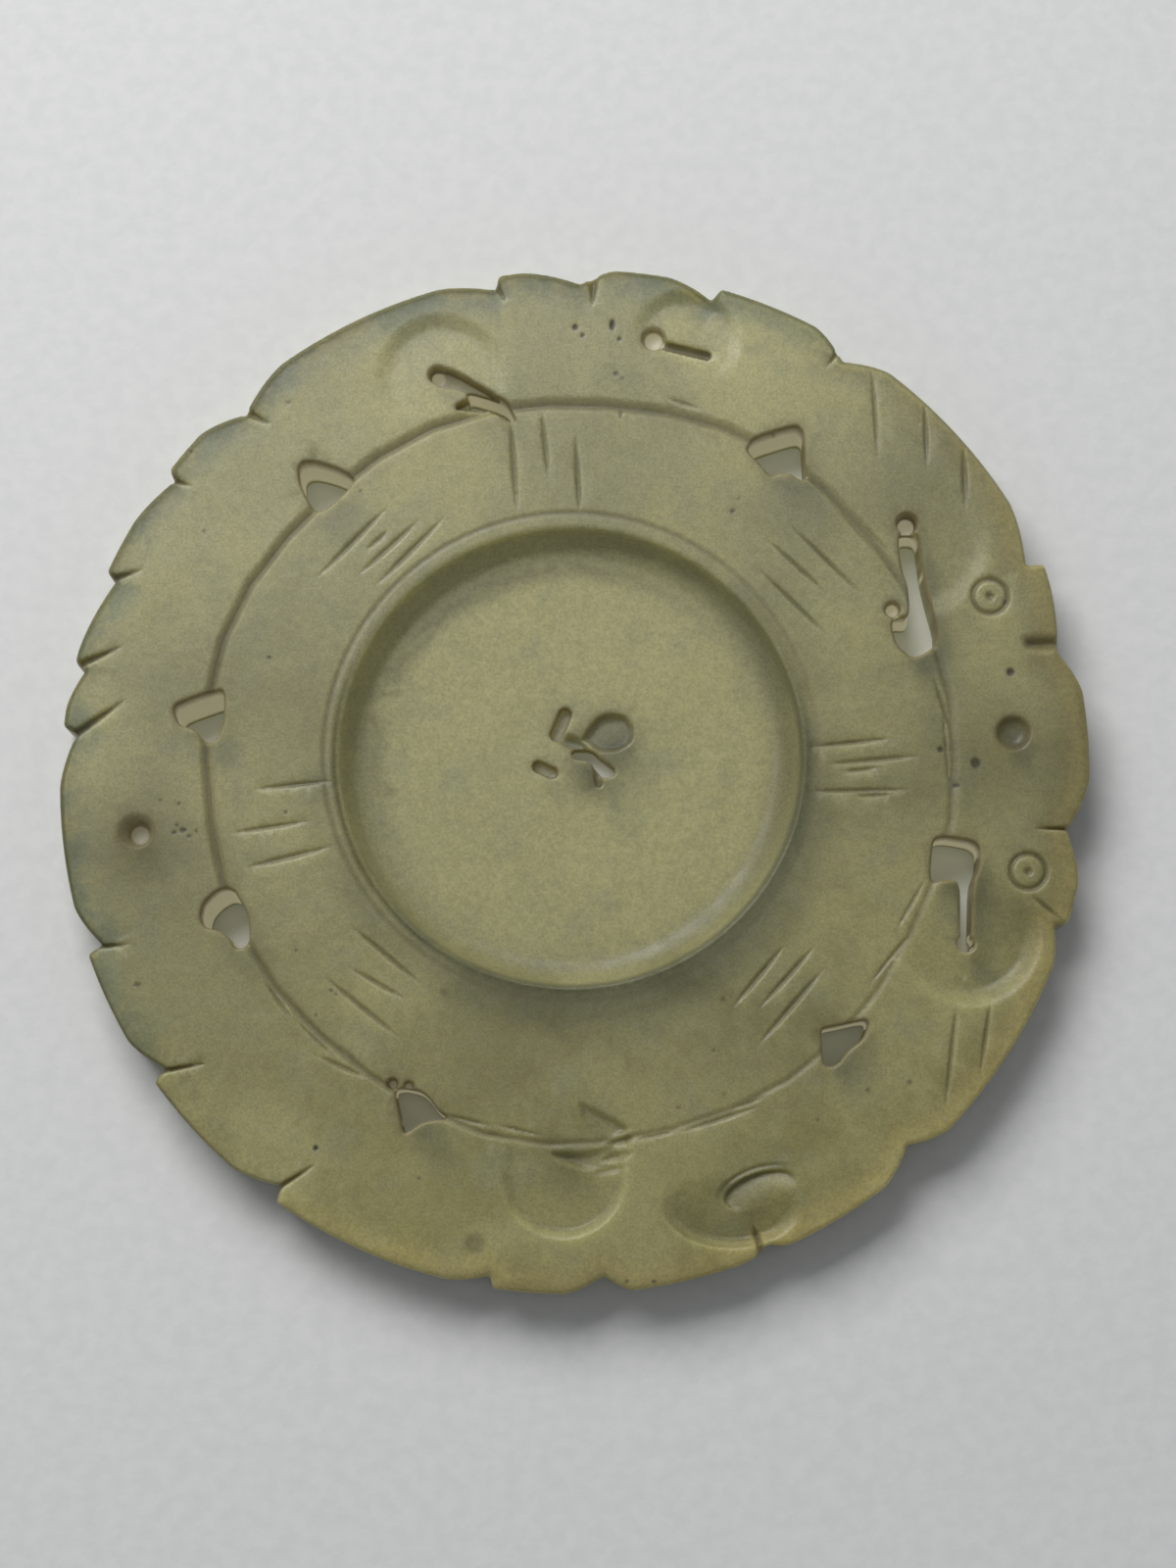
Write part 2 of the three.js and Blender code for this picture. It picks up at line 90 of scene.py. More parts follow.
# Short cuts of the wheel that run along the groove: angle, distance out, heading, length, width and depth.
RING_STREAKS = [
    (218.9, 1.5, 125, 4.4, 0.5, 0.25), (232.6, 1.7, 155, 5.2, 0.5, 0.25), (231.5, 0.6, 145, 4.1, 0.4, 0.2),
    (227, 1.4, 136, 5.1, 0.35, 0.2), (252.8, 0.9, 166, 4.6, 0.5, 0.25), (257.6, 1.5, 169, 5.7, 0.5, 0.25),
    (261, 0.7, 166, 4.9, 0.4, 0.2), (281.6, 1.4, 12, 4.9, 0.4, 0.2), (291.2, 1.6, 18, 7.9, 0.5, 0.25),
    (295.6, 1.3, 18, 3.5, 0.4, 0.25), (328.1, 0.3, 51, 7.2, 0.5, 0.25), (336.4, -0.3, 60, 5.8, 0.4, 0.2),
    (7.6, 0.5, 108, 7.1, 0.5, 0.25), (1.2, 0.3, 94, 9.1, 0.4, 0.2), (40.2, 0.2, 131, 7.6, 0.45, 0.2),
    (37.6, 1, 133, 4.8, 0.4, 0.2), (71.1, 0.5, 162, 8.4, 0.4, 0.2), (73.7, 1.5, 161, 3.7, 0.4, 0.2),
    (195.1, 1, 99, 4.1, 0.4, 0.2),
]

NOTCHES = [
    (8.8, 13.8, 23.9, 1.35), (24.1, 24.6, 32.2, 1.4), (51.8, 57.1, 62, 1.5), (73.3, 73.9, 79.5, 1.2),
    (85.3, 89.4, 96.2, 1.3), (98.6, 99.4, 106, 1.15), (125.3, 132.5, 138, 1.5), (143, 143.8, 150.5, 0.9),
    (156.7, 157.4, 166.3, 1), (167.6, 168.3, 173, 1), (174.9, 175.7, 182, 1.15), (195.3, 200.4, 200.9, 1.35),
    (211.3, 216.3, 216.8, 1.35), (229.3, 235.1, 235.6, 1.35), (255.8, 260.6, 261.1, 1),
    (268.8, 273.3, 276.4, 1.4), (289, 292, 294.4, 0.8), (306.3, 311.3, 316, 1.5), (337.5, 342, 342.8, 1.05),
    (347, 353, 359.3, 1.65),
]
NOTCH_HOLLOW = 1.4

# Wheel cuts: angle, distance from the rim or from the well's edge, heading, length, width and depth.
RIM_CUTS = [
    (58.1, -0.4, 54, 6.2, 0.7, 0.6), (87.9, 0.6, 87, 5.2, 1, 0.6), (99.4, 0.3, 120, 4.4, 0.7, 0.6),
    (132.5, 1.1, 153, 6.2, 0.9, 0.6), (144.1, 0.4, 161, 5.2, 0.6, 0.6), (157.9, 0.4, 18, 7.1, 0.75, 0.6),
    (167.6, 0.8, 23, 7.6, 0.75, 0.6), (175.5, 1.5, 35, 10, 0.8, 0.6), (200.5, 1.1, 3, 5.4, 0.5, 0.6),
    (216.5, 1.1, 10, 7.7, 0.5, 0.6), (235.1, 1.2, 32, 6.8, 0.5, 0.6), (291, 0.4, 107, 5, 0.9, 0.6),
    (353.2, 1.7, 179, 6.7, 0.4, 0.6),
]
BAND_STROKES = [
    (50.3, 3.4, 93, 8.5, 0.5, 0.28), (44, 1.9, 91, 6.3, 0.55, 0.28), (37.3, 1.8, 91, 5.7, 0.75, 0.28),
    (326.7, 2.6, 81, 6.8, 0.5, 0.28), (322.4, 4, 83, 9.4, 0.5, 0.28), (343.6, 2.3, 141, 4, 0.5, 0.28),
]
RING_STROKES = [
    (101.1, 5.7, 94, 9, 0.75, 0.28), (94.8, 7, 96, 6.4, 0.65, 0.28), (88.7, 4.3, 93, 7.6, 0.65, 0.28),
    (135.6, 6.3, 46, 9.1, 0.6, 0.28), (131, 3.9, 43, 7.7, 0.6, 0.28), (128.1, 2.5, 46, 8.8, 0.6, 0.28),
    (131.8, 5, 43, 2.8, 0.4, 0.28), (186.3, 3.7, 6, 7.7, 0.5, 0.28), (193.7, 6.2, 9, 7.5, 0.5, 0.28),
    (200.2, 5.4, 14, 8.1, 0.65, 0.28), (227.9, 3.2, 140, 8.5, 0.55, 0.28), (230.2, 5.4, 150, 6, 0.5, 0.28),
    (230.8, 7.7, 141, 8.7, 0.6, 0.28), (309.9, 4.7, 50, 7.5, 0.6, 0.28), (313.8, 6.3, 48, 7.8, 0.55, 0.28),
    (310.8, 8.3, 49, 9.2, 0.65, 0.28), (2.5, 3.9, 6, 7.8, 0.5, 0.28), (359, 5.7, 5, 8.6, 0.55, 0.28),
    (357, 4.7, 5, 3.4, 0.4, 0.28), (352.9, 4.8, 1, 9.3, 0.5, 0.28), (352.3, 5.9, 2, 3.8, 0.4, 0.28),
    (37.7, 7.6, 135, 9.3, 0.55, 0.28), (39.9, 5.4, 137, 7.3, 0.5, 0.28), (34.2, 3.3, 135, 9.2, 0.5, 0.28),
]

# Scoops: angle, distance from the rim, half sizes, turn, depth, the steep arc's side, and its wall's width.
SCOOPS = [
    (108.6, 7.6, 5, 5, 0, 0.5, 95, 1.6), (75.7, 5.2, 4.2, 4.1, 0, 0.6, 75, 1.4),
    (34, 8.5, 5.4, 5.5, 0, 0.38, 335, 2.4), (337.3, 7.6, 5.2, 5.2, 0, 1.2, 300, 2),
    (268.4, 9.6, 4.8, 4.9, 0, 0.9, 275, 1), (289.6, 4.7, 5, 2.9, 0, 1.2, 265, 1.4),
    (293.6, 5.1, 3, 1.4, 18, 0.9, 110, 0.35),
]
# Cut lines along arcs: angle, distance from the rim, half sizes, turn, width, depth, middle and reach.
ARC_LINES = [(293.6, 5.1, 3.4, 1.8, 18, 0.7, 0.25, 105, 60), (289.6, 4.7, 5.3, 3.2, 0, 0.5, 0.15, 250, 50)]

# Openings: angle and distance out from the ring, how far the lip at the back stands in, pits, and outlines
# with a depth, or none where the opening goes through.
LIP_DEPTH = 2.8
LIP_SLOPE = 1.4
LEDGE_DEPTH = LIP_DEPTH - 0.2
OPENINGS = [
    (134.6, 0.6, (0.3, -0.7), [], [
        (None, [(-1.9, 3), (-1.5, 3.5), (-0.5, 3.5), (1.4, 2.9), (2.9, 2), (2, 0.8), (0.9, -0.2), (0.1, -0.8),
                (-0.6, -0.6), (-1.3, 0.6), (-1.8, 1.8)]),
    ]),
    (103.7, 0.9, (0.2, -0.5), [(-4.5, 2.7, 0.75, 2.2)], [
        (2, [(-4.7, 3.2), (-3.6, 3.3), (-1.3, 2), (0.7, 0.8), (0, -0.4), (-2.9, -0.4), (-3, 0.1), (-1.8, 0.7),
             (-2.2, 1.3), (-3.7, 1.6), (-4.7, 1.9)]),
        (None, [(-2.2, 1.7), (0.7, 0.8), (1.4, 0.2), (2.1, -1.3), (1.5, -1.4), (-0.1, -0.3), (-0.8, -0.5),
                (-1.7, -0.3), (-1.8, 0.7)]),
    ]),
    (54.7, 1.4, (0.25, -0.7), [], [
        (None, [(-4.1, 0.7), (-3.6, 1.6), (-2.5, 2), (-0.6, 2.6), (0.1, 2.7), (0.6, 2.2), (0.7, 0.5),
                (0.8, -1.9), (0.2, -1.9), (-0.4, -1.4), (-1.3, -1.3), (-2.1, -1.7), (-3, -0.6), (-3.6, 0)]),
    ]),
    (22.6, 0.7, (0.15, -0.4), [(-1, 8.2, 0.9, 2.2), (-2.3, 0.9, 0.65, 1.2)], [
        (None, [(-1.8, 7.5), (-0.1, 7.5), (0.3, 3.9), (0.8, 1.7), (1.4, -0.6), (1.4, -1.9), (0.4, -2.8),
                (-0.8, -3.2), (-2, -2.1), (-2.4, -0.6), (-2.2, 0.3), (-0.9, 0.2), (-0.9, 2.7),
                (-1.5, 4.3)]),
    ]),
    (342.8, 3.1, (0, -0.15), [(0.15, -5.3, 0.75, 5.6)], [
        (None, [(-2.6, 2.3), (-2.4, 3.3), (-1.4, 3.5), (1.3, 3), (1.3, 1), (0.7, -0.5), (0.6, -5.3),
                (-0.4, -5.3), (-0.3, -0.1), (-1.8, -0.1), (-2.5, -0.4), (-2.8, 0.3)]),
    ]),
    (175.3, 0.2, (0.5, -1), [], [
        (None, [(-3.4, 1.8), (-3.1, 2.3), (-0.4, 3.3), (0.5, 3.5), (0.8, 3), (0.8, 0.6), (0.1, -0.9),
                (-0.8, -0.9), (-1.5, 0.1), (-2.9, 0.5)]),
    ]),
    (207.1, 1.2, (0.5, -0.8), [], [
        (None, [(-3.2, 1.2), (-3, 2.3), (-2.2, 3.2), (-1.3, 3.7), (-0.5, 3.5), (0.1, 2.5), (0.7, 1.5),
                (0.9, -0.6), (0.4, -1.3), (-0.3, -1.3), (-0.8, -0.4), (-1.8, 0.2), (-2.8, 0.4)]),
    ]),
    (245.9, 2.1, (0, -0.1), [(-2, 2.7, 0.45, 1), (-0.7, 2.5, 0.4, 0.9)], [
        (None, [(-1.9, 2.2), (-1.1, 2.4), (0.3, 2.1), (1, 1.5), (1.6, 0.6), (2.5, -0.1), (1.7, -0.2),
                (0.5, -0.4), (-0.4, -1), (-1.1, -1.4), (-1.4, 0)]),
    ]),
    (310.7, 1.8, (0, -0.1), [], [
        (None, [(-1, 2), (0.1, 2.2), (2.7, 2.8), (2.9, 2.3), (2.4, 1.1), (1.3, 0.3), (0.5, -0.7), (0, -1.1),
                (-0.8, -1), (-0.9, 0.4)]),
    ]),
]
# The recess where the groove crosses the bottom: its place, and cuts with depth, deep side and outline.
RECESS_AT = (273.1, 1.3)
RECESS_CUTS = [
    (0.7, 40, [(-2, 3.5), (-0.9, 3.2), (2.7, 1.3), (2.3, 0.5), (-0.5, -1), (-1.7, 1.2)]),
    (0.7, 120, [(-0.6, -0.7), (2.3, 0.9), (2.9, 0), (2.4, -2.5), (-0.9, -2.7), (-3.9, -1.5), (-4.1, -0.6)]),
]
RECESS_STREAKS = [
    (1.7, 0.1, 13, 2.9, 0.9, 0.3), (1.4, -1.2, 13, 3.1, 0.9, 0.3), (0.9, -2.3, 13, 3.2, 0.8, 0.25),
]
MOUTH = (15.5, 3, 0.6, 1.2, [(-1.4, 1.1), (-1.3, -0.8), (1.4, -0.9), (4.4, 0.1), (4, 0.9)])
# Drilled pits of the band: angle, distance from the rim, radius, depth, and how pale their floor is painted,
# as painted light.
BAND_PITS = [
    (79.8, 5.4, 0.95, 1.4, 1), (188.1, 6.2, 1.6, 0.35, 0), (188.4, 6.4, 0.95, 1.4, 0.5),
    (4.9, 6.3, 1.4, 0.8, 0), (331.7, 6.3, 0.35, 0.8, 0.5),
]
SLOT = (75.5, 5.8, 166, 3.7, 0.45, 0.7)
EYES = [(23, 5.2), (347.3, 4.5)]
EYE_RADIUS = 1.45
EYE_LINE_WIDTH = 0.6
EYE_LINE_DEPTH = 0.3
EYE_DOT_RADIUS = 0.45

# The ragged piercing of the well's floor, from the well's centre, with depths below the floor.
FLOOR_CAPSULES = [
    ((-0.5, 3.8), (-1.2, 2.1), 0.6, 1), ((-2.7, -0.6), (-1.6, -1.1), 0.55, 0.9),
    ((2.2, -0.7), (2.3, -2), 0.33, 1.3),
]
FLOOR_CUTS = [
    (0.8, 135, [(0.6, 1.6), (1.3, 2.6), (2.3, 3.8), (3.4, 4), (4.7, 3.7), (5.3, 2.7), (5.2, 1.5),
                (3.9, 0.6), (2.4, 0.6), (1.6, 1.1)]),
    (0.9, 90, [(-1.8, 1.9), (-0.9, 2.2), (0.4, 2.1), (1.6, 1.2), (1.4, 0.6), (0.1, 0.7), (-0.9, 1.2)]),
    (None, 0, [(0, 0.9), (1.7, 0.9), (2.6, 0), (3.7, -0.7), (3.6, -1.4), (2.8, -1.6), (2.1, -0.7),
               (1.4, -0.1), (0.2, 0)]),
]
FLOOR_BATTER = 0.6
# The share of their depth that the slanted cuts have at their shallow end.
FLOOR_CUT_START = 0.6
CAPSULE_TAPER = 0.2
DRILL_TAPER = 0.85

# Dark specks and small pits of the stone: place from the disc's centre, half sizes and strength.
SPECKS = [
    (0.0, 37.6, 0.40, 0.40, 0.9), (0.6, 36.9, 0.30, 0.30, 0.8), (3.1, 37.8, 0.35, 0.71, 1),
    (3.7, 36.6, 0.30, 0.30, 0.8), (3.4, 33.6, 0.30, 0.30, 0.6), (3.9, 33.2, 0.30, 0.22, 0.5),
    (13.1, 21.8, 0.30, 0.30, 0.7), (13.6, 22.9, 0.22, 0.22, 0.4), (36.0, 8.2, 0.50, 0.50, 0.9),
    (33.0, 0.6, 0.60, 0.66, 0.8), (30.1, 1.7, 0.35, 0.40, 0.8), (31.4, -1.3, 0.40, 0.25, 0.8),
    (35.7, 14.1, 0.30, 0.30, 0.4), (-25.3, 9.4, 0.30, 0.22, 0.6), (-34.1, -2.5, 0.22, 0.22, 0.5),
    (-32.6, -2.8, 0.22, 0.22, 0.6), (-23.8, -3.5, 0.25, 0.22, 0.6), (-32.9, -5.2, 0.30, 0.22, 0.7),
    (-32.7, -4.6, 0.22, 0.22, 0.6), (-32.2, -5.0, 0.40, 0.30, 0.8), (-31.7, -5.5, 0.30, 0.22, 0.7),
    (-31.1, -5.1, 0.22, 0.22, 0.6), (-35.7, -17.7, 0.40, 0.30, 0.6), (-21.0, -31.0, 0.30, 0.35, 1),
    (-22.8, -14.9, 0.22, 0.22, 0.5), (-19.9, -18.2, 0.25, 0.22, 0.6), (-19.5, -18.5, 0.22, 0.22, 0.5),
    (-21.1, -20.2, 0.22, 0.22, 0.5), (-10.7, -18.4, 0.50, 0.50, 0.4), (-32.1, 26.9, 0.22, 0.22, 0.5),
    (-30.9, 20.1, 0.25, 0.25, 0.5), (-24.0, 31.1, 0.30, 0.22, 0.5), (-17.9, 23.5, 0.22, 0.22, 0.5),
    (3.8, 30.1, 0.22, 0.50, 0.6), (4.2, -41.7, 0.22, 0.22, 0.6), (6.4, -41.7, 0.30, 0.22, 0.6),
    (23.8, -26.3, 0.30, 0.30, 0.5), (27.2, -25.7, 0.30, 0.30, 0.5), (19.7, -28.7, 0.22, 0.22, 0.5),
    (11.3, -23.1, 0.22, 0.22, 0.5), (12.1, -26.6, 0.22, 0.22, 0.4), (8.4, -27.7, 0.22, 0.22, 0.4),
    (-12.6, -33.4, 0.22, 0.22, 0.5), (12.1, -18.9, 0.30, 0.30, 0.4), (-15.3, -1.3, 0.22, 0.22, 0.5),
    (3.0, 13.5, 0.40, 0.40, 0.8), (-8.1, -38.6, 1.21, 1.11, 0.35),
]

# Painted shade and painted light, in darker and paler stretches. By the well: distance out, spread, heading,
# how far round, and strength.
WELL_SHADES = [
    (-3.1, 0.8, 115, 75, 0.34), (-2.4, 0.8, 178, 40, 0.22), (-1.1, 1.3, 5, 55, 0.36),
    (-1.9, 0.7, 305, 60, 0.22), (0.3, 0.35, 280, 70, 0.32), (0.35, 0.3, 190, 50, 0.5),
    (0.5, 0.4, 10, 40, 0.3), (2.4, 1.5, 280, 70, 0.22), (-1.3, 0.9, 110, 70, -0.35),
    (0.8, 0.25, 120, 70, 0.12), (2, 1.3, 5, 40, 0.1), (1.5, 1.5, 215, 35, 0.17),
]
# A painted dark line of shade along the rim, widest on the side towards the light.
BORDER_SIDE = 120
BORDER_WIDTH = 0.45
# Painted shade and painted light by the rim: distance in, spread, heading, how far round, and strength.
RIM_SHADES = [
    (0.7, 0.6, 115, 60, 0.3), (1.8, 1, 110, 40, 0.15), (0.4, 0.4, 200, 25, 0.2), (1, 1, 245, 18, -0.2),
    (0.5, 0.9, 308, 25, -0.2), (0.4, 0.5, 268, 25, 0.2), (0.4, 0.4, 5, 20, 0.25), (2, 1.2, 10, 25, 0.15),
]
# Darker and paler patches: partly the stone's clouds and partly painted shade, in the well's piercing, the
# recess, two scoops and on the band's sides. Place, reach and strength, negative where paler.
CLOUDS_AND_SHADE_PATCHES = [
    (-35.9, -7, 6, 0.4), (34.5, 1, 7, 0.35), (-23, 5, 7, 0.22), (14, -22, 9, 0.2), (24, -2, 7, 0.16),
    (-13, -37, 6, -0.2), (20, -33, 7, -0.1), (18, 20, 6, 0.14), (29, 25, 6, 0.18), (2, 26, 8, 0.1),
    (3.1, 3.4, 1.9, 0.42), (0.5, 0.1, 1.4, 0.35), (1.3, -1.2, 1.1, 0.3), (3.2, 1.2, 2.5, 0.12),
    (2, -29.3, 1.6, 0.2), (-0.5, -31.8, 1.8, 0.3), (-0.3, -33.5, 2.2, 0.22), (33.5, -10.5, 3.5, 0.15),
    (13.5, -35.3, 2.3, 0.25), (-2, -23.5, 7, 0.12), (-33, 8, 6, 0.15), (14, 35, 5, -0.12),
    (-14, 33, 6, -0.06),
]

# The camera: the photograph's tilt, its distance from the face, and the point of the face at its middle.
CAMERA_TILT = 8.5
CAMERA_DISTANCE = 290
CAMERA_AIM = (1.07, -1.17)
PHOTO_HEIGHT = 1600
PHOTO_SCALE = 12.4
SENSOR_HEIGHT = 36

# The window's soft light: size and distance in metres, height and heading of the way to it, and strength.
WINDOW_SIZE = (0.36, 0.32)
WINDOW_DISTANCE = 0.55
WINDOW_HEIGHT = 47
WINDOW_HEADING = 117
WINDOW_ENERGY = 2.5
WINDOW_COLOUR = (1.0, 0.995, 0.98)
ROOM_COLOUR = (0.93, 0.96, 1.0, 1)
ROOM_STRENGTH = 0.22

# The darker shade behind a cut: the way that the light goes on into the stone, and how far.
SHADE_HEADING = 297
SHADE_REACH = 2.2
SHADE_GAIN = 1.6
SHADE_BLUR = 0.35
RIM_SHADE = 0.4
# A cut this deep throws the full shade.
FULL_SHADE_DEPTH = 1.6

# The paper under the stone, which shows in the openings, glows faintly: painted light for what the stone lets
# through.
GLOW = (0.095, 0.095, 0.06)
# The ledges and floors inside the openings and pits glow too and are painted paler: painted light for the
# same.
LIP_GLOW = (0.185, 0.172, 0.115)

# The stone's colours: the lower and upper side, the well's floor, painted paler as painted light for what
# shines up through its thin stone, clouds and veins.
LOWER_GREEN = (0.26, 0.243, 0.098)
UPPER_GREEN = (0.385, 0.37, 0.213)
FLOOR_GREEN_LIT_THROUGH = (0.425, 0.41, 0.215)
CLOUD = (0.46, 0.435, 0.215)
VEIN = (0.28, 0.29, 0.18)
# Tints that the colour is multiplied by: the cool upper rim, partly the greyer thin stone and partly painted
# shade seen through it, and the painted shade behind cuts.
COOL_RIM_AND_SHADE = (0.7, 0.79, 0.94)
SHADE_TINT = (0.45, 0.48, 0.56)
# A painted warm glow of light on the rest of the rim, where the stone carries light through to it.
WARM_RIM_LIGHT = (0.37, 0.3, 0.12)
# The painted dark line of shade along the rim.
RIM_LINE_SHADE = (0.1, 0.095, 0.05)
GRAIN = (0.23, 0.22, 0.12)
# Browns of the walls of pits and openings and of the cuts: partly staining, partly painted shade in the
# hollows.
WALL_BROWN_AND_SHADE = (0.33, 0.275, 0.135)
CUT_BROWN_AND_SHADE = (0.13, 0.105, 0.045)
# Painted light: the paler colour of lit ledges and floors in openings and pits.
PALE_LIT_LEDGE = (0.66, 0.63, 0.5)
SPECK = (0.035, 0.028, 0.018)
PAPER_DIM = (0.76, 0.765, 0.765)
PAPER_LIGHT = (0.8, 0.805, 0.8)

FINE_STEP = 0.14
STEP = FINE_STEP
RISE = 0.26
MOST_TRIANGLES = 186000


def polar(angle, radius, centre=(0, 0)):
    turn = math.radians(angle)
    return centre[0] + radius * math.cos(turn), centre[1] + radius * math.sin(turn)


def from_rim(angle, inset):
    return polar(angle, DISC_RADIUS - inset)


def from_well(angle, out):
    return polar(angle, WELL_RADIUS + out, WELL_CENTRE)


def from_ring(angle, out):
    return polar(angle, RING_RADIUS + out, RING_CENTRE)


def from_well_centre(x, y):
    return WELL_CENTRE[0] + x, WELL_CENTRE[1] + y


def smooth(low, high, value):
    share = np.clip((value - low) / (high - low), 0, 1)
    return share * share * (3 - 2 * share)


def rounded(a, b, radius):
    """The part inside both a and b, with the edge between them rounded."""
    corner = np.hypot(np.maximum(a + radius, 0), np.maximum(b + radius, 0))
    return np.minimum(np.maximum(a, b), -radius) + corner


def waves(x, y, seed, least, most, count=9):
    """A gentle, even roll between -1 and 1 with wavelengths from least to most."""
    rng = np.random.default_rng(seed)
    total = 0
    for _ in range(count):
        length = rng.uniform(least, most)
        heading = rng.uniform(0, math.tau)
        along = (x * math.cos(heading) + y * math.sin(heading)) * math.tau / length
        total = total + np.sin(along + rng.uniform(0, math.tau))
    return total / count ** 0.5 / 1.5


def rim_outline():
    angles = np.arange(0, 360, RIM_STEP)
    cut = np.zeros_like(angles)
    for start, bottom, end, depth in NOTCHES:
        before, after = (bottom - angles) / (bottom - start), (angles - bottom) / (end - bottom)
        away = np.where(angles < bottom, before, after)
        inside = (angles > start) & (angles < end)
        cut = np.maximum(cut, np.where(inside, depth * np.clip(1 - away, 0, 1) ** NOTCH_HOLLOW, 0))
    radii = DISC_RADIUS + RIM_SWELL * np.cos(2 * np.radians(angles - RIM_SWELL_ANGLE)) - cut
    reach = RIM_SMOOTH_REACH
    weights = np.exp(-0.5 * (np.arange(-reach, reach + 1) / RIM_SMOOTHING) ** 2)
    padded = np.concatenate([radii[-reach:], radii, radii[:reach]])
    return angles, np.convolve(padded, weights / weights.sum(), "valid")


RIM_ANGLES, RIM_RADII = rim_outline()
RIM_TURNS = np.radians(RIM_ANGLES)
RIM_POINTS = np.stack([RIM_RADII * np.cos(RIM_TURNS), RIM_RADII * np.sin(RIM_TURNS)], -1)


def rim_distance(x, y):
    """Distance outwards from the rim, negative on the stone."""
    angle = np.degrees(np.arctan2(y, x)) % 360
    out = np.hypot(x, y) - np.interp(angle, RIM_ANGLES, RIM_RADII, period=360)
    near = np.abs(out) < RIM_NEAR
    px, py = x[near], y[near]
    first = (angle[near] / RIM_STEP).astype(int)
    best = np.full(px.shape, 99.0)
    count = len(RIM_POINTS)
    for shift in range(-RIM_SEARCH, RIM_SEARCH, RIM_STRIDE):
        a = RIM_POINTS[(first + shift) % count]
        b = RIM_POINTS[(first + shift + RIM_STRIDE) % count]
        best = np.minimum(best, segment_distance(px, py, a[:, 0], a[:, 1], b[:, 0], b[:, 1]))
    out[near] = np.sign(out[near]) * best
    return out


def segment_distance(x, y, ax, ay, bx, by):
    dx, dy = bx - ax, by - ay
    along = np.clip(((x - ax) * dx + (y - ay) * dy) / (dx * dx + dy * dy), 0, 1)
    return np.hypot(x - ax - along * dx, y - ay - along * dy)


def worn(outline, rounds=2):
    """The outline with its corners cut, so that it turns as a hand-cut edge does."""
    points = np.array(outline, float)
    stay = 1 - CORNER_WEAR
    for _ in range(rounds):
        following = np.roll(points, -1, 0)
        pair = [points * stay + following * CORNER_WEAR, points * CORNER_WEAR + following * stay]
        points = np.stack(pair, 1).reshape(-1, 2)
    return points


def outline_distance(x, y, outline):
    """Distance outwards from a closed outline, negative inside it."""
    best = np.full(x.shape, 99.0)
    inside = np.zeros(x.shape, bool)
    for (ax, ay), (bx, by) in zip(outline, np.roll(outline, -1, 0)):
        best = np.minimum(best, segment_distance(x, y, ax, ay, bx, by))
        if ay != by:
            crosses = (ay > y) != (by > y)
            inside ^= crosses & (x < ax + (y - ay) * (bx - ax) / (by - ay))
    return np.where(inside, -best, best)


def stroke(x, y, centre, heading, length, width, depth):
    """The depth of a straight cut by the edge of a wheel: deepest and widest in the middle."""
    c, s = math.cos(math.radians(heading)), math.sin(math.radians(heading))
    along = (x - centre[0]) * c + (y - centre[1]) * s
    across = (y - centre[1]) * c - (x - centre[0]) * s
    share = np.clip(1 - (2 * along / length) ** 2, 0, 1)
    half = np.maximum(width / 2 * share, 1e-6)
    return depth * share * np.clip(1 - (np.abs(across) / half) ** 1.4, 0, 1)


def in_ellipse(x, y, centre, half_x, half_y, turn):
    """A point's place in an ellipse, as shares of its half sizes."""
    c, s = math.cos(math.radians(turn)), math.sin(math.radians(turn))
    dx, dy = x - centre[0], y - centre[1]
    return (dx * c + dy * s) / half_x, (dy * c - dx * s) / half_y


def scoop(x, y, row):
    angle, inset, half_x, half_y, turn, depth, steep, edge = row
    px, py = in_ellipse(x, y, from_rim(angle, inset), half_x, half_y, turn)
    away = np.hypot(px, py)
    slant = (0.8 + px * math.cos(math.radians(steep)) + py * math.sin(math.radians(steep))) / 1.8
    wall = smooth(0, edge, (1 - away) * (half_x + half_y) / 2 + edge / 2)
    return depth * np.clip(slant, 0, 1) ** 1.3 * wall


def arc_line(x, y, row):
    angle, inset, half_x, half_y, turn, width, depth, middle, reach = row
    px, py = in_ellipse(x, y, from_rim(angle, inset), half_x, half_y, turn)
    away = np.abs(np.hypot(px, py) - 1) * (half_x + half_y) / width
    off = (np.degrees(np.arctan2(py, px)) - middle + 180) % 360 - 180
    return depth * np.clip(1 - away ** 1.5, 0, 1) * np.exp(-((off / reach) ** 4))


def groove_radii(angle):
    """The inner and outer border of the ring's groove, made of short straight runs."""
    turn = np.arange(RING_RUNS + 1) * 360 / RING_RUNS
    low = (1 - np.sin(np.radians(turn))) / 2
    slow, fast = RING_WANDER_TURNS
    wander = RING_WANDER * (np.sin(np.radians(slow * (turn % 360))) + np.sin(np.radians(fast * (turn % 360))))
    run = np.floor(angle % 360 / 360 * RING_RUNS).astype(int)
    a, b = np.radians(turn[run]), np.radians(turn[run + 1])
    here = np.radians(angle % 360)
    borders = []
    for border, drift in ((RING_RADIUS, RING_DRIFT), (RING_RADIUS + RING_GROOVE_WIDTH, RING_OUTER_DRIFT)):
        radii = border + low * drift + wander
        ra, rb = radii[run], radii[run + 1]
        borders.append(ra * rb * np.sin(b - a) / (ra * np.sin(here - a) + rb * np.sin(b - here)))
    return borders


def groove_place(x, y):
    """Distance out from the groove's inner border, its width there, and how near its deep side, 0 to 1."""
    dx, dy = x - RING_CENTRE[0], y - RING_CENTRE[1]
    turn = np.arctan2(dy, dx)
    inner, outer = groove_radii(np.degrees(turn))
    return np.hypot(dx, dy) - inner, outer - inner, (1 + np.cos(turn - math.radians(WELL_SHARP_SIDE))) / 2


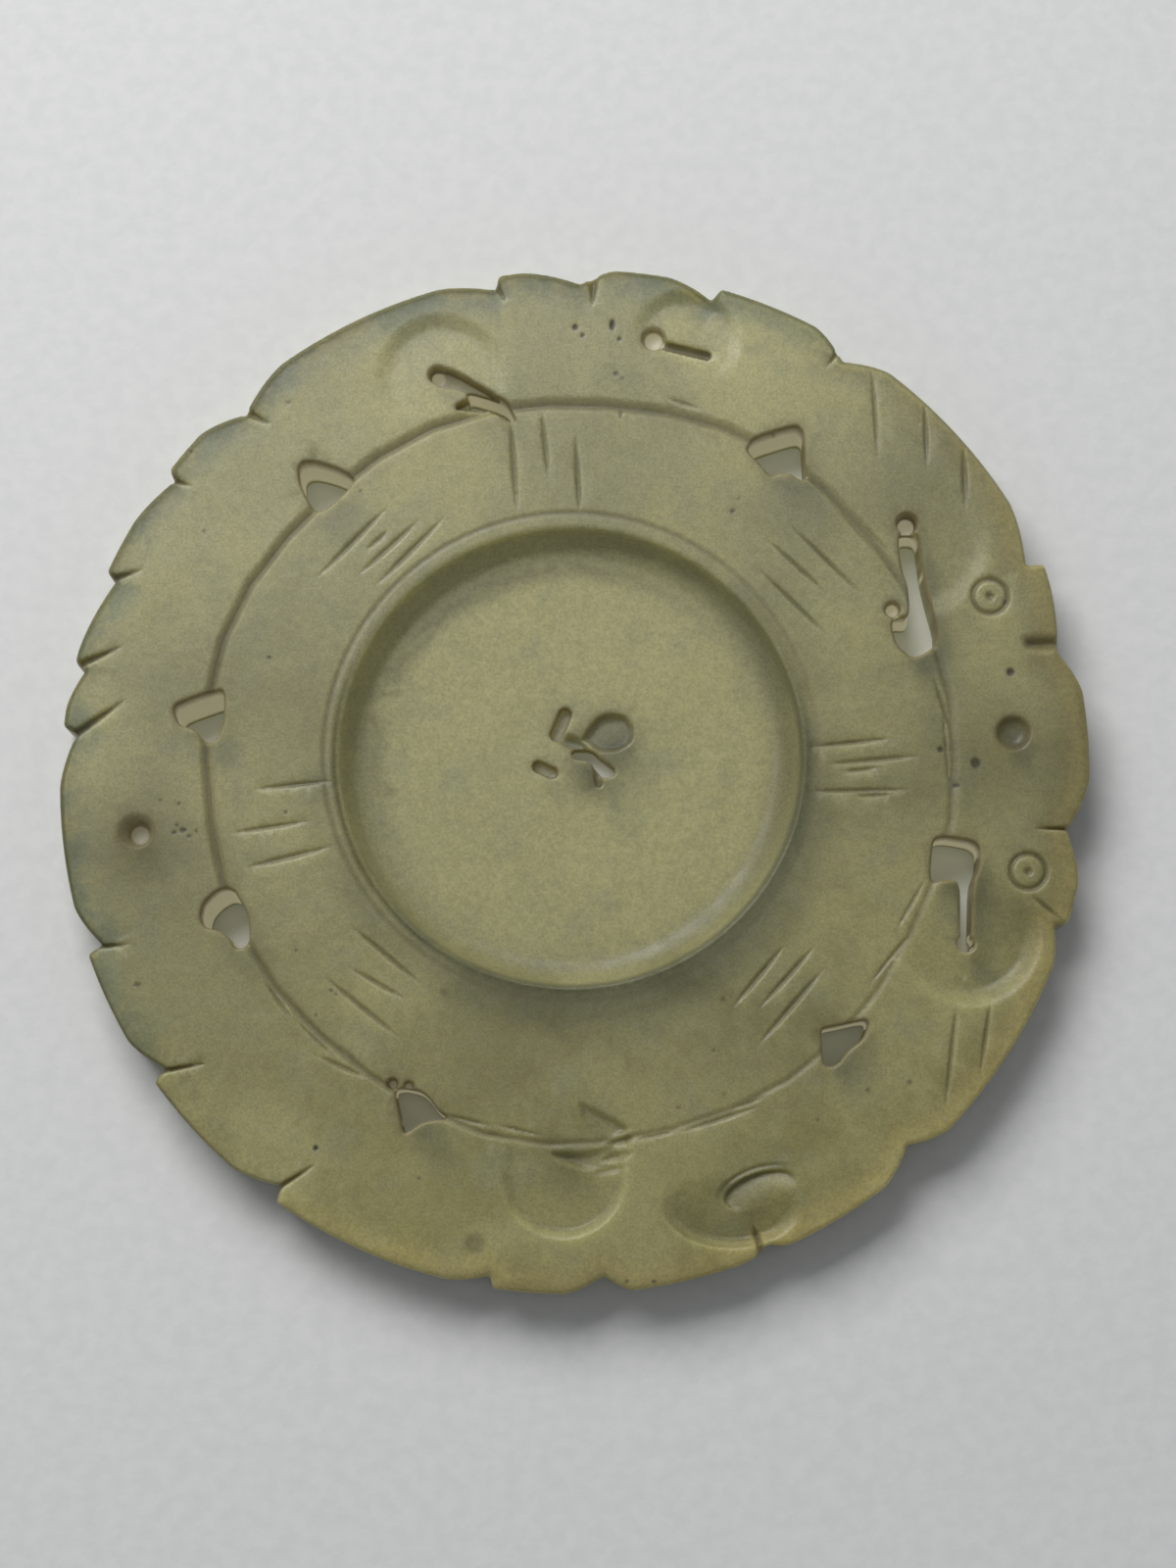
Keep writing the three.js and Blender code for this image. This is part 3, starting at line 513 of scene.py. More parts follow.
def ring_groove(x, y):
    """How deep the ring's groove is: it falls quickly at its inner border and rises slowly outwards."""
    out, width, deep_side = groove_place(x, y)
    slant = np.minimum(out / RING_GROOVE_FOOT, (width - out) / (width - RING_GROOVE_FOOT))
    return RING_GROOVE_DEPTH * (0.3 + 0.6 * deep_side) * smooth(0, 1, slant)


def groove_stain_and_shade(x, y):
    """How brown the ring's groove is on the side where the cut is deepest, partly staining and partly painted
    shade, darkest along its inner border in a painted line of shade.
    """
    out, width, deep_side = groove_place(x, y)
    band = 0.5 * smooth(0, 0.25, out) * smooth(0, 0.35, width - out)
    line = 0.85 * np.exp(-((out - 0.02) / 0.17) ** 2)
    return np.maximum(band, line) * smooth(0.3, 0.8, deep_side)


def pocket(x, y, centre, outline, share, depth):
    """The depth of a cut with sloping walls and a floor."""
    away = -outline_distance(x - centre[0], y - centre[1], worn(outline))
    run = np.abs(np.array(outline)).max() * (1 - share)
    return depth * smooth(0, 1, away / run * 0.9 + 0.05) * (away > 0)


def slanted_pocket(x, y, centre, outline, depth, side):
    """The depth of a cut whose floor falls from nothing to its deep side."""
    points = worn(outline)
    away = -outline_distance(x - centre[0], y - centre[1], points)
    dx, dy = polar(side, 1)
    along = points[:, 0] * dx + points[:, 1] * dy
    fall = ((x - centre[0]) * dx + (y - centre[1]) * dy - along.min()) / (along.max() - along.min())
    return depth * np.clip(fall, 0, 1) * smooth(0, 0.7, away)


def line_round(x, y, centre, radius, width, depth):
    away = np.abs(np.hypot(x - centre[0], y - centre[1]) - radius) / (width / 2)
    return depth * np.clip(1 - away ** 1.5, 0, 1)


def speck_mask(x, y):
    total = np.zeros(x.shape)
    for cx, cy, half_x, half_y, strength in SPECKS:
        mark = smooth(0, 0.6, 1 - np.hypot((x - cx) / half_x, (y - cy) / half_y))
        total = np.maximum(total, strength * mark)
    return total


def shallow_cuts(x, y):
    """How deep everything that is cut into the face, but not through it, goes at a point."""
    cut = ring_groove(x, y)
    for angle, inset, *size in RIM_CUTS + BAND_STROKES:
        cut = np.maximum(cut, stroke(x, y, from_rim(angle, inset), *size))
    for angle, out, *size in RING_STROKES:
        cut = np.maximum(cut, stroke(x, y, from_well(angle, out), *size))
    for angle, out, *size in RING_STREAKS:
        cut = np.maximum(cut, stroke(x, y, from_ring(angle, out), *size))
    for row in ARC_LINES:
        cut = np.maximum(cut, arc_line(x, y, row))
    _, cove = well_place(x, y)
    for gap, width, depth in WELL_LINES:
        line = line_round(x, y, WELL_CENTRE, WELL_RADIUS + gap, width, depth)
        cut = np.maximum(cut, line * (1 - 0.8 * smooth(0.2, 0.8, cove)))
    for eye in EYES:
        centre = from_rim(*eye)
        cut = np.maximum(cut, line_round(x, y, centre, EYE_RADIUS, EYE_LINE_WIDTH, EYE_LINE_DEPTH))
        cut = np.maximum(cut, line_round(x, y, centre, 0, 2 * EYE_DOT_RADIUS, EYE_LINE_DEPTH))
    angle, inset, share, depth, outline = MOUTH
    cut = np.maximum(cut, pocket(x, y, from_rim(angle, inset), outline, share, depth))
    angle, inset, heading, length, radius, depth = SLOT
    cx, cy = from_rim(angle, inset)
    ex, ey = polar(heading, length / 2)
    away = segment_distance(x, y, cx - ex, cy - ey, cx + ex, cy + ey)
    cut = np.maximum(cut, depth * np.clip(1 - (away / radius) ** 2, 0, 1) ** 0.5)
    return cut


def scooped(x, y):
    """How deep the scoops and the recess at the bottom go at a point."""
    cx, cy = from_ring(*RECESS_AT)
    cuts = [slanted_pocket(x, y, (cx, cy), outline, depth, side) for depth, side, outline in RECESS_CUTS]
    for dx, dy, *size in RECESS_STREAKS:
        cuts.append(cuts[1] + stroke(x, y, (cx + dx, cy + dy), *size))
    return sum(scoop(x, y, row) for row in SCOOPS) + np.maximum.reduce(cuts)


def face_height(x, y, rim):
    """The height of the carved face: hand-ground, thinner at the rim, and cut."""
    roll = sum(height * waves(x, y, *how) for height, *how in FACE_WAVES)
    thinner = RIM_THINNING * smooth(-RIM_THINNING_WIDTH, 0, rim)
    return THICKNESS + roll - thinner - scooped(x, y) - shallow_cuts(x, y) - SPECK_DEPTH * speck_mask(x, y)


def well_place(x, y):
    """Distance outwards from the well's edge, and how far round towards the side with the cove, 0 to 1."""
    dx, dy = x - WELL_CENTRE[0], y - WELL_CENTRE[1]
    turn = np.arctan2(dy, dx) - math.radians(WELL_SHARP_SIDE)
    return np.hypot(dx, dy) - WELL_RADIUS, (1 - np.cos(turn)) / 2


def well(x, y, z):
    """Distance out of the well's hollow, negative inside it."""
    out, cove = well_place(x, y)
    run = WELL_WALL_RUN[0] + (WELL_WALL_RUN[1] - WELL_WALL_RUN[0]) * cove
    side = (out * WELL_DEPTH + (THICKNESS - z) * run) / np.hypot(run, WELL_DEPTH)
    height, *how = WELL_FLOOR_WAVES
    floor = THICKNESS - WELL_DEPTH + height * waves(x, y, *how)
    return rounded(side, floor - z, WELL_FOOT_ROUND[0] + (WELL_FOOT_ROUND[1] - WELL_FOOT_ROUND[0]) * cove)


def drilled(x, y, z, centre, radius, top, depth):
    """Distance out of a drilled pit with a round bottom."""
    share = np.clip((top - z) / depth, 0, 1)
    side = np.hypot(x - centre[0], y - centre[1]) - radius * (1 - (1 - DRILL_TAPER) * share)
    return rounded(side, top - depth - z, 0.6 * radius)


def hollows():
    """Every pit and opening: middle, reach, distance function, top, whether it has a ledge, and how pale its
    lit ledge or floor is painted, as painted light.
    """
    found = []

    def pit(centre, radius, depth, pale):
        def away(x, y, z):
            return drilled(x, y, z, centre, radius, THICKNESS, depth)

        found.append((centre, radius + 1, away, THICKNESS, depth > THICKNESS, pale))

    def capsule(start, end, radius, depth, top):
        def away(x, y, z):
            share = np.clip((top - z) / depth, 0, 1)
            side = segment_distance(x, y, *start, *end) - radius * (1 - CAPSULE_TAPER * share)
            return rounded(side, top - depth - z, 0.5 * radius)

        middle = ((start[0] + end[0]) / 2, (start[1] + end[1]) / 2)
        found.append((middle, 2 * radius + 2, away, top, False, 0.15))

    def opening(centre, outline, lip, depth=None, slant=None, top=THICKNESS):
        points = worn(outline) + centre
        reach = np.abs(points - centre).max() + 1

        def away(x, y, z):
            side = outline_distance(x, y, points)
            if depth is None:
                down = smooth(0, LIP_SLOPE, THICKNESS - LIP_DEPTH - z)
                if any(lip) and np.any(down > 0):
                    side = np.maximum(side, outline_distance(x - lip[0] * down, y - lip[1] * down, points))
                return side
            floor = top - depth
            if slant is not None:
                side = side + FLOOR_BATTER * np.maximum(top - z, 0)
                dx, dy = polar(slant, 1)
                span = points @ (dx, dy)
                fall = np.clip((x * dx + y * dy - span.min()) / (span.max() - span.min()), 0, 1)
                floor = top - depth * (FLOOR_CUT_START + (1 - FLOOR_CUT_START) * fall)
            return rounded(side, floor - z, 0.2)

        ledge = depth is None and top == THICKNESS
        paleness = 0 if top < THICKNESS else 1 if ledge else 0.35
        found.append((centre, reach, away, top, ledge, paleness))

    for angle, out, lip, pits, cuts in OPENINGS:
        centre = from_ring(angle, out)
        for depth, outline in cuts:
            opening(centre, outline, lip, depth)
        for px, py, radius, depth in pits:
            pit((centre[0] + px, centre[1] + py), radius, depth, 1 if radius > 0.5 else 0.4)
    for angle, inset, radius, depth, pale in BAND_PITS:
        pit(from_rim(angle, inset), radius, depth, pale)
    floor = THICKNESS - WELL_DEPTH
    for start, end, radius, depth in FLOOR_CAPSULES:
        capsule(from_well_centre(*start), from_well_centre(*end), radius, depth, floor)
    for depth, slant, outline in FLOOR_CUTS:
        opening(WELL_CENTRE, outline, (0, 0), depth, slant, floor)
    return found


HOLLOWS = hollows()


def stone(x, y, z, rim, top, steep):
    """Below zero inside the stone. rim, top and steep are the maps of the outline and of the face."""
    body = rounded(rim, (z - top) / steep, FACE_EDGE_ROUND)
    body = rounded(body, -z, BACK_EDGE_ROUND)
    body = rounded(body, -well(x, y, z), WELL_EDGE_ROUND)
    for centre, reach, away, *_ in HOLLOWS:
        near = (np.abs(x - centre[0]) < reach) & (np.abs(y - centre[1]) < reach)
        height = z[near] if np.ndim(z) else z
        body[near] = rounded(body[near], -away(x[near], y[near], height), HOLLOW_EDGE_ROUND)
    return body


def surface(field, start, steps):
    """The mesh where the field changes sign, one point to a cell."""
    inside = field < 0
    count = np.zeros(tuple(n - 1 for n in field.shape), np.int8)
    corners = [(i, j, k) for i in (0, 1) for j in (0, 1) for k in (0, 1)]

    def corner(array, offset):
        return array[tuple(slice(o, n - 1 + o) for o, n in zip(offset, array.shape))]

    for offset in corners:
        count += corner(inside, offset)
    cells = np.argwhere((count > 0) & (count < 8))
    values = {o: field[tuple((cells + o).T)] for o in corners}
    total = np.zeros((len(cells), 3))
    crossings = np.zeros(len(cells))
    for a in corners:
        for axis in range(3):
            if a[axis]:
                continue
            b = tuple(1 if i == axis else v for i, v in enumerate(a))
            va, vb = values[a], values[b]
            crossed = (va < 0) != (vb < 0)
            share = np.where(crossed, va / np.where(crossed, va - vb, 1), 0)
            point = np.array(a, float) + share[:, None] * (np.array(b) - np.array(a))
            total += np.where(crossed[:, None], point, 0)
            crossings += crossed
    points = (cells + total / crossings[:, None]) * steps + start
    number = np.full(count.shape, -1, np.int32)
    number[tuple(cells.T)] = np.arange(len(cells))
    faces = []
    for axis in range(3):
        one, two = [i for i in range(3) if i != axis]
        low = [slice(None)] * 3
        high = [slice(None)] * 3
        low[axis], high[axis] = slice(0, -1), slice(1, None)
        change = inside[tuple(low)].astype(np.int8) - inside[tuple(high)].astype(np.int8)
        edges = np.argwhere(change != 0)
        sign = change[tuple(edges.T)]
        inner = np.all((edges[:, [one, two]] > 0), axis=1)
        inner &= (edges[:, one] < field.shape[one] - 1) & (edges[:, two] < field.shape[two] - 1)
        edges, sign = edges[inner], sign[inner]
        quad = []
        for da, db in ((-1, -1), (0, -1), (0, 0), (-1, 0)):
            cell = edges.copy()
            cell[:, one] += da
            cell[:, two] += db
            quad.append(number[tuple(cell.T)])
        quad = np.stack(quad, 1)
        flip = (sign < 0) if axis != 1 else (sign > 0)
        quad[flip] = quad[flip][:, ::-1]
        faces.append(quad)
    return points, np.concatenate(faces)


def make_mesh(name, points, faces):
    mesh = bpy.data.meshes.new(name)
    size = faces.shape[1]
    mesh.vertices.add(len(points))
    mesh.vertices.foreach_set("co", points.astype(np.float32).ravel())
    mesh.loops.add(faces.size)
    mesh.loops.foreach_set("vertex_index", faces.astype(np.int32).ravel())
    mesh.polygons.add(len(faces))
    mesh.polygons.foreach_set("loop_start", np.arange(0, faces.size, size, dtype=np.int32))
    mesh.update(calc_edges=True)
    return mesh


def cut_away(x, y, rim, level):
    """How much of the stone is missing under a point of the face or of the well's floor, as a share."""
    if level == THICKNESS:
        gone = np.maximum(shallow_cuts(x, y), WELL_DEPTH * np.clip(-well_place(x, y)[0] / 0.6, 0, 1))
        gone[rim > 0] = RIM_SHADE
    else:
        gone = np.zeros(x.shape)
    for centre, reach, away, *_ in HOLLOWS:
        near = (np.abs(x - centre[0]) < reach) & (np.abs(y - centre[1]) < reach)
        open_here = away(x[near], y[near], level - 0.5) < 0
        gone[near] = np.maximum(gone[near], np.where(open_here, THICKNESS, 0))
    return np.clip(gone / FULL_SHADE_DEPTH, 0, 1)


def halo(missing):
    """The stone looks darker just behind a cut, seen from the side where it takes in its light."""
    dx, dy = polar(SHADE_HEADING, 1)
    total, weights = 0, 0
    for reach in np.arange(0.1, 3.2 * SHADE_REACH, 0.2):
        weight = math.exp(-reach / SHADE_REACH)
        shift = (round(dx * reach / STEP), round(dy * reach / STEP))
        total = total + weight * np.roll(missing, shift, (0, 1))
        weights += weight
    total = np.clip(SHADE_GAIN * total / weights, 0, 1)
    spread = np.exp(-0.5 * (np.arange(-9, 10) * FINE_STEP / SHADE_BLUR) ** 2)
    for axis in (0, 1):
        total = np.apply_along_axis(np.convolve, axis, total, spread / spread.sum(), "same")
    return total


def sampled(grid, ticks, x, y):
    """The grid's value at any place, between its points."""
    i, j = (x - ticks[0]) / STEP, (y - ticks[0]) / STEP
    i0, j0 = np.clip(i.astype(int), 0, len(ticks) - 2), np.clip(j.astype(int), 0, len(ticks) - 2)
    i, j = i - i0, j - j0
    low = grid[i0, j0] * (1 - i) + grid[i0 + 1, j0] * i
    return low * (1 - j) + (grid[i0, j0 + 1] * (1 - i) + grid[i0 + 1, j0 + 1] * i) * j


def stone_mesh():
    reach = DISC_RADIUS + 0.9
    ticks = np.arange(-reach, reach + STEP, STEP)
    levels = np.arange(-0.4, THICKNESS + 0.6, RISE)
    x, y = np.meshgrid(ticks, ticks, indexing="ij")
    rim = rim_distance(x, y)
    top = face_height(x, y, rim)
    slope = np.gradient(top, STEP)
    steep = np.sqrt(1 + slope[0] ** 2 + slope[1] ** 2)
    field = np.empty((len(ticks), len(ticks), len(levels)), np.float32)
    for k, z in enumerate(levels):
        field[:, :, k] = stone(x, y, z, rim, top, steep)
    points, faces = surface(field, np.array([ticks[0], ticks[0], levels[0]]), np.array([STEP, STEP, RISE]))
    points[:, :2] += MIDDLE
    maps = [halo(cut_away(x, y, rim, level)) for level in (THICKNESS, THICKNESS - WELL_DEPTH)]
    dx, dy = polar(SHADE_HEADING, 1)
    maps.append(slope[0] * dx + slope[1] * dy)
    return make_mesh("carved_jade", points * MM, faces), ticks, maps


def decimated(obj):
    triangles = 2 * len(obj.data.polygons)
    if triangles > MOST_TRIANGLES:
        modifier = obj.modifiers.new("fewer", "DECIMATE")
        modifier.ratio = MOST_TRIANGLES / triangles
        modifier.use_collapse_triangulate = True
        shown = obj.evaluated_get(bpy.context.evaluated_depsgraph_get())
        mesh = bpy.data.meshes.new_from_object(shown)
        obj.modifiers.clear()
        obj.data = mesh
    obj.data.shade_smooth()


def rings_of_shade(rows, out, turn):
    """What is left of the stone's lightness under a set of soft shades that run round."""
    left = 1
    for middle, spread, heading, reach, strength in rows:
        off = (np.degrees(turn) - heading + 180) % 360 - 180
        left = left * (1 - strength * np.exp(-((out - middle) / spread) ** 2 - (off / reach) ** 2))
    return left


def toned(x, y, rim):
    """How light the stone is painted at a point, as a share: painted shade and light round the well and the
    rim, and patches that are partly clouds and partly painted shade.
    """
    dx, dy = x - WELL_CENTRE[0], y - WELL_CENTRE[1]
    tone = rings_of_shade(WELL_SHADES, np.hypot(dx, dy) - WELL_RADIUS, np.arctan2(dy, dx))
    tone = tone * rings_of_shade(RIM_SHADES, -rim, np.arctan2(y, x))
    for cx, cy, reach, strength in CLOUDS_AND_SHADE_PATCHES:
        tone = tone * (1 - strength * np.exp(-((x - cx) ** 2 + (y - cy) ** 2) / reach ** 2))
    return tone


def paint(mesh, ticks, maps):
    """Stores on each point how brown, pale, dark or near the rim it is: staining and specks, painted shade
    and painted light.
    """
    place = np.empty(len(mesh.vertices) * 3, np.float32)
    mesh.vertices.foreach_get("co", place)
    x, y, z = (place.reshape(-1, 3) / MM - (*MIDDLE, 0)).T.astype(float)
    out, cove = well_place(x, y)
    brown = np.maximum(shallow_cuts(x, y) / 0.35, groove_stain_and_shade(x, y))
    for gap, width, _ in WELL_LINES:
        line = line_round(x, y, WELL_CENTRE, WELL_RADIUS + gap, width, 0.9)
        brown = np.maximum(brown, line * (1 - 0.6 * cove))
    cut = np.clip(brown, 0, 1) * smooth(0.1, 0.6, z)
    facing = np.empty(len(mesh.vertices) * 3, np.float32)
    mesh.vertices.foreach_get("normal", facing)
    steep = 1 - smooth(0.3, 0.75, facing[2::3].astype(float))
    wall, pale = np.zeros(len(x)), np.zeros(len(x))
    for centre, reach, away, top, ledge, paleness in HOLLOWS:
        near = (np.abs(x - centre[0]) < reach) & (np.abs(y - centre[1]) < reach)
        inside = -away(x[near], y[near], z[near])
        down = top - z[near]
        here = smooth(-0.25, 0, inside) * (down > -0.1)
        if ledge:
            deep = smooth(-0.2, 0.1, down - LEDGE_DEPTH)
            above_back = 1 - smooth(LIP_SLOPE - 0.3, LIP_SLOPE + 0.3, down - LIP_DEPTH)
            lit = smooth(-0.12, 0, inside) * deep * above_back
            brown = here * (1 - deep)
        else:
            lit = smooth(-0.12, 0, inside) * smooth(0.3, 0.7, down) * (1 - steep[near])
            brown = here * steep[near]
        # Walls are marked brown, partly staining and partly painted shade.
        wall[near] = np.maximum(wall[near], brown)
        line = smooth(-0.4, -0.1, inside) * (1 - smooth(0.2, 0.7, down)) * (down > -0.1)
        cut[near] = np.maximum(cut[near], line * (1 if top == THICKNESS else 0.4))
        # Lit ledges and floors are marked pale, painted light.
        pale[near] = np.maximum(pale[near], paleness * lit)
    rim = rim_distance(x, y)
    # The rim's painted line of shade is widest on the side towards the light.
    width = BORDER_WIDTH * ((1 + np.cos(np.arctan2(y, x) - math.radians(BORDER_SIDE))) / 2) ** 2
    face, floor, facing = (sampled(shade, ticks, x, y) for shade in maps)
    # Painted shade behind cuts, on the face and on the well's floor.
    behind = (face * smooth(-0.5, 0, out) + floor * smooth(-0.5, -1.5, out)) * (z > 1)
    # cut and wall are partly staining and partly painted shade, pale is painted light, halo and border are
    # painted shade, edge places the rim's cool tint and painted warm glow, and tone is painted shade and
    # light with the stone's clouds.
    marks = {
        "cut": cut * (1 - pale),
        "wall": wall * (1 - pale),
        "pale": pale,
        "speck": speck_mask(x, y) * (z > 0.5),
        "halo": behind * (1 - pale) * (1 - smooth(0.05, 0.3, facing)),
        "border": smooth(-0.3, 0, rim + width) * smooth(3.9, 4.8, z),
        "edge": smooth(-3.4, -0.6, rim) * (z > 3),
        "tone": 1 + (toned(x, y, rim) - 1) * smooth(0.2, 0.8, z),
    }
    for name, values in marks.items():
        mesh.attributes.new(name, "FLOAT", "POINT").data.foreach_set("value", values.astype(np.float32))


class Nodes:
    """A material's node tree, with short calls for the nodes that it needs."""

    def __init__(self, name):
        self.material = bpy.data.materials.new(name)
        self.material.use_nodes = True
        self.tree = self.material.node_tree
        self.shader = self.tree.nodes["Principled BSDF"]
        self.place = self.tree.nodes.new("ShaderNodeTexCoord").outputs["Object"]

    def put(self, target, value):
        if isinstance(value, bpy.types.NodeSocket):
            self.tree.links.new(value, target)
        elif value is not None:
            target.default_value = value

    def node(self, kind, inputs=(), **settings):
        made = self.tree.nodes.new("ShaderNode" + kind)
        for key, value in settings.items():
            setattr(made, key, value)
        for key, value in dict(inputs).items():
            self.put(made.inputs[key], value)
        return made

    def maths(self, operation, a, b=None, clamp=False):
        return self.node("Math", {0: a, 1: b}, operation=operation, use_clamp=clamp).outputs[0]

    def noise(self, scale, detail=3, roughness=0.5, place=None):
        inputs = {"Vector": place or self.place, "Scale": scale, "Detail": detail, "Roughness": roughness}
        return self.node("TexNoise", inputs).outputs["Fac"]

    def ramp(self, value, low, high, out_low=0.0, out_high=1.0):
        inputs = {0: value, 1: low, 2: high, 3: out_low, 4: out_high}
        return self.node("MapRange", inputs, interpolation_type="SMOOTHSTEP").outputs[0]

    def mix(self, share, a, b, blend="MIX"):
        made = self.node("Mix", data_type="RGBA", blend_type=blend)
        for key, value in ((0, share), (6, a), (7, b)):
            self.put(made.inputs[key], value if not isinstance(value, tuple) else (*value, 1))
        return made.outputs[2]

    def attribute(self, name):
        return self.node("Attribute", attribute_name=name).outputs["Fac"]

    def bump(self, height, distance, strength=1.0, normal=None):
        inputs = {"Height": height, "Distance": distance, "Strength": strength}
        made = self.node("Bump", inputs)
        if normal is not None:
            self.tree.links.new(normal, made.inputs["Normal"])
        return made.outputs[0]


def jade_material():
    n = Nodes("jade")
    split = n.node("SeparateXYZ", {0: n.place})
    x, y = split.outputs[0], split.outputs[1]
    clouds = n.noise(95, 4, 0.55)
    veins = n.noise(260, 5, 0.6)
    grain = n.noise(2200, 2, 0.6)
    mottle = n.maths("ADD", n.noise(1500, 4, 0.8), n.noise(5000, 1, 0.5))

    high = n.ramp(n.maths("ADD", y, n.maths("MULTIPLY", x, -0.35)), -0.045, 0.045)
    colour = n.mix(high, LOWER_GREEN, UPPER_GREEN)
    well_middle = ((WELL_CENTRE[0] + MIDDLE[0]) * MM, (WELL_CENTRE[1] + MIDDLE[1]) * MM, 0)
    inner = n.node("VectorMath", {0: n.place, 1: well_middle}, operation="SUBTRACT").outputs[0]
    out = n.node("VectorMath", {0: inner}, operation="LENGTH").outputs["Value"]
    # The well's floor is painted paler: painted light for what shines up through the thin stone.
    on_floor = n.ramp(out, (WELL_RADIUS - 3) * MM, (WELL_RADIUS + 0.3) * MM, 0.75, 0.0)
    colour = n.mix(on_floor, colour, FLOOR_GREEN_LIT_THROUGH)
    colour = n.mix(n.ramp(clouds, 0.4, 0.62, 0.0, 0.5), colour, CLOUD)
    colour = n.mix(n.ramp(veins, 0.52, 0.7, 0.0, 0.35), colour, VEIN)
    # The upper rim is tinted cool, partly the greyer thin stone and partly painted shade seen through it; the
    # rest of the rim gets a painted warm glow.
    upper = n.ramp(n.maths("SUBTRACT", n.maths("MULTIPLY", y, 0.8), x), -0.03, 0.03)
    patches = n.ramp(n.noise(240, 4, 0.6), 0.4, 0.58)
    edge = n.maths("MULTIPLY", n.attribute("edge"), upper)
    colour = n.mix(n.maths("MULTIPLY", edge, patches), colour, COOL_RIM_AND_SHADE, "MULTIPLY")
    warm = n.maths("SUBTRACT", n.attribute("edge"), edge)
    colour = n.mix(n.maths("MULTIPLY", warm, 0.5), colour, WARM_RIM_LIGHT)
    # Painted shade behind cuts, weaker on the upper side.
    halo = n.maths("MULTIPLY", n.attribute("halo"), n.ramp(upper, 0.0, 1.0, 1.0, 0.55))
    colour = n.mix(halo, colour, SHADE_TINT, "MULTIPLY")
    # A painted dark line of shade along the rim, strongest on the upper side.
    border = n.maths("MULTIPLY", n.attribute("border"), n.ramp(upper, 0.0, 1.0, 0.2, 0.75))
    colour = n.mix(border, colour, RIM_LINE_SHADE)
    # The tone attribute's painted shade and light, with the stone's own mottling.
    tone = n.maths("MULTIPLY", n.attribute("tone"), n.ramp(mottle, 0.65, 1.35, 0.88, 1.18))
    colour = n.mix(1.0, colour, tone, "MULTIPLY")
    colour = n.mix(n.ramp(grain, 0.55, 0.8, 0.0, 0.25), colour, GRAIN)
    # Brown walls and cuts, partly staining and partly painted shade.
    colour = n.mix(n.maths("MULTIPLY", n.attribute("wall"), 0.75), colour, WALL_BROWN_AND_SHADE)
    colour = n.mix(n.maths("MULTIPLY", n.attribute("cut"), 0.55), colour, CUT_BROWN_AND_SHADE)
    # Painted light on lit ledges and floors: a paler colour and a glow.
    pale = n.attribute("pale")
    colour = n.mix(n.maths("MULTIPLY", pale, 0.7), colour, PALE_LIT_LEDGE)
    n.shader.inputs["Emission Color"].default_value = (*LIP_GLOW, 1)
    n.put(n.shader.inputs["Emission Strength"], pale)
    colour = n.mix(n.maths("MULTIPLY", n.attribute("speck"), 0.9), colour, SPECK)
    n.put(n.shader.inputs["Base Color"], colour)

    on_line = n.ramp(border, 0.0, 0.8, 0.33, 0.1)
    in_light = n.ramp(n.attribute("tone"), 0.45, 0.75, 0.0, 1.0)
    n.put(n.shader.inputs["Specular IOR Level"], n.maths("MULTIPLY", on_line, in_light))
    n.put(n.shader.inputs["Roughness"], n.ramp(n.noise(600, 4, 0.6), 0.3, 0.75, 0.38, 0.52))
    n.shader.inputs["IOR"].default_value = 1.6
    n.shader.subsurface_method = "RANDOM_WALK"
    n.shader.inputs["Subsurface Weight"].default_value = 1.0
    n.shader.inputs["Subsurface Radius"].default_value = (1.0, 0.95, 0.6)
    n.shader.inputs["Subsurface Scale"].default_value = 0.004

    turned = n.node("Mapping", {0: n.place, "Rotation": (0, 0, 0.7), "Scale": (1, 0.06, 1)}).outputs[0]
    scratches = n.noise(2600, 2, 0.5, turned)
    normal = n.bump(n.noise(420, 5, 0.65), 0.00008, 0.7)
    normal = n.bump(scratches, 0.00001, 0.5, normal)
    normal = n.bump(grain, 0.000015, 0.6, normal)
    n.put(n.shader.inputs["Normal"], normal)
    return n.material


def paper_material():
    """Plain pale paper, with a faint painted glow under the stone for the little light that the stone lets
    through onto it.
    """
    n = Nodes("pale_floor")
    colour = n.mix(n.ramp(n.noise(700, 3), 0.3, 0.7), PAPER_DIM, PAPER_LIGHT)
    n.put(n.shader.inputs["Base Color"], colour)
    n.shader.inputs["Roughness"].default_value = 0.9
    n.shader.inputs["Specular IOR Level"].default_value = 0.2
    n.put(n.shader.inputs["Normal"], n.bump(n.noise(550, 4, 0.6), 0.0001, 0.35))
    # The painted glow under the stone, weaker towards the bottom.
    out = n.node("VectorMath", {0: n.place}, operation="LENGTH").outputs["Value"]
    high = n.ramp(n.node("SeparateXYZ", {0: n.place}).outputs[1], -0.028, 0.01, 0.5, 1.0)
    under = n.ramp(out, 0.035, 0.039, 1.0, 0.0)
    n.put(n.shader.inputs["Emission Strength"], n.maths("MULTIPLY", under, high))
    n.shader.inputs["Emission Color"].default_value = (*GLOW, 1)
    return n.material


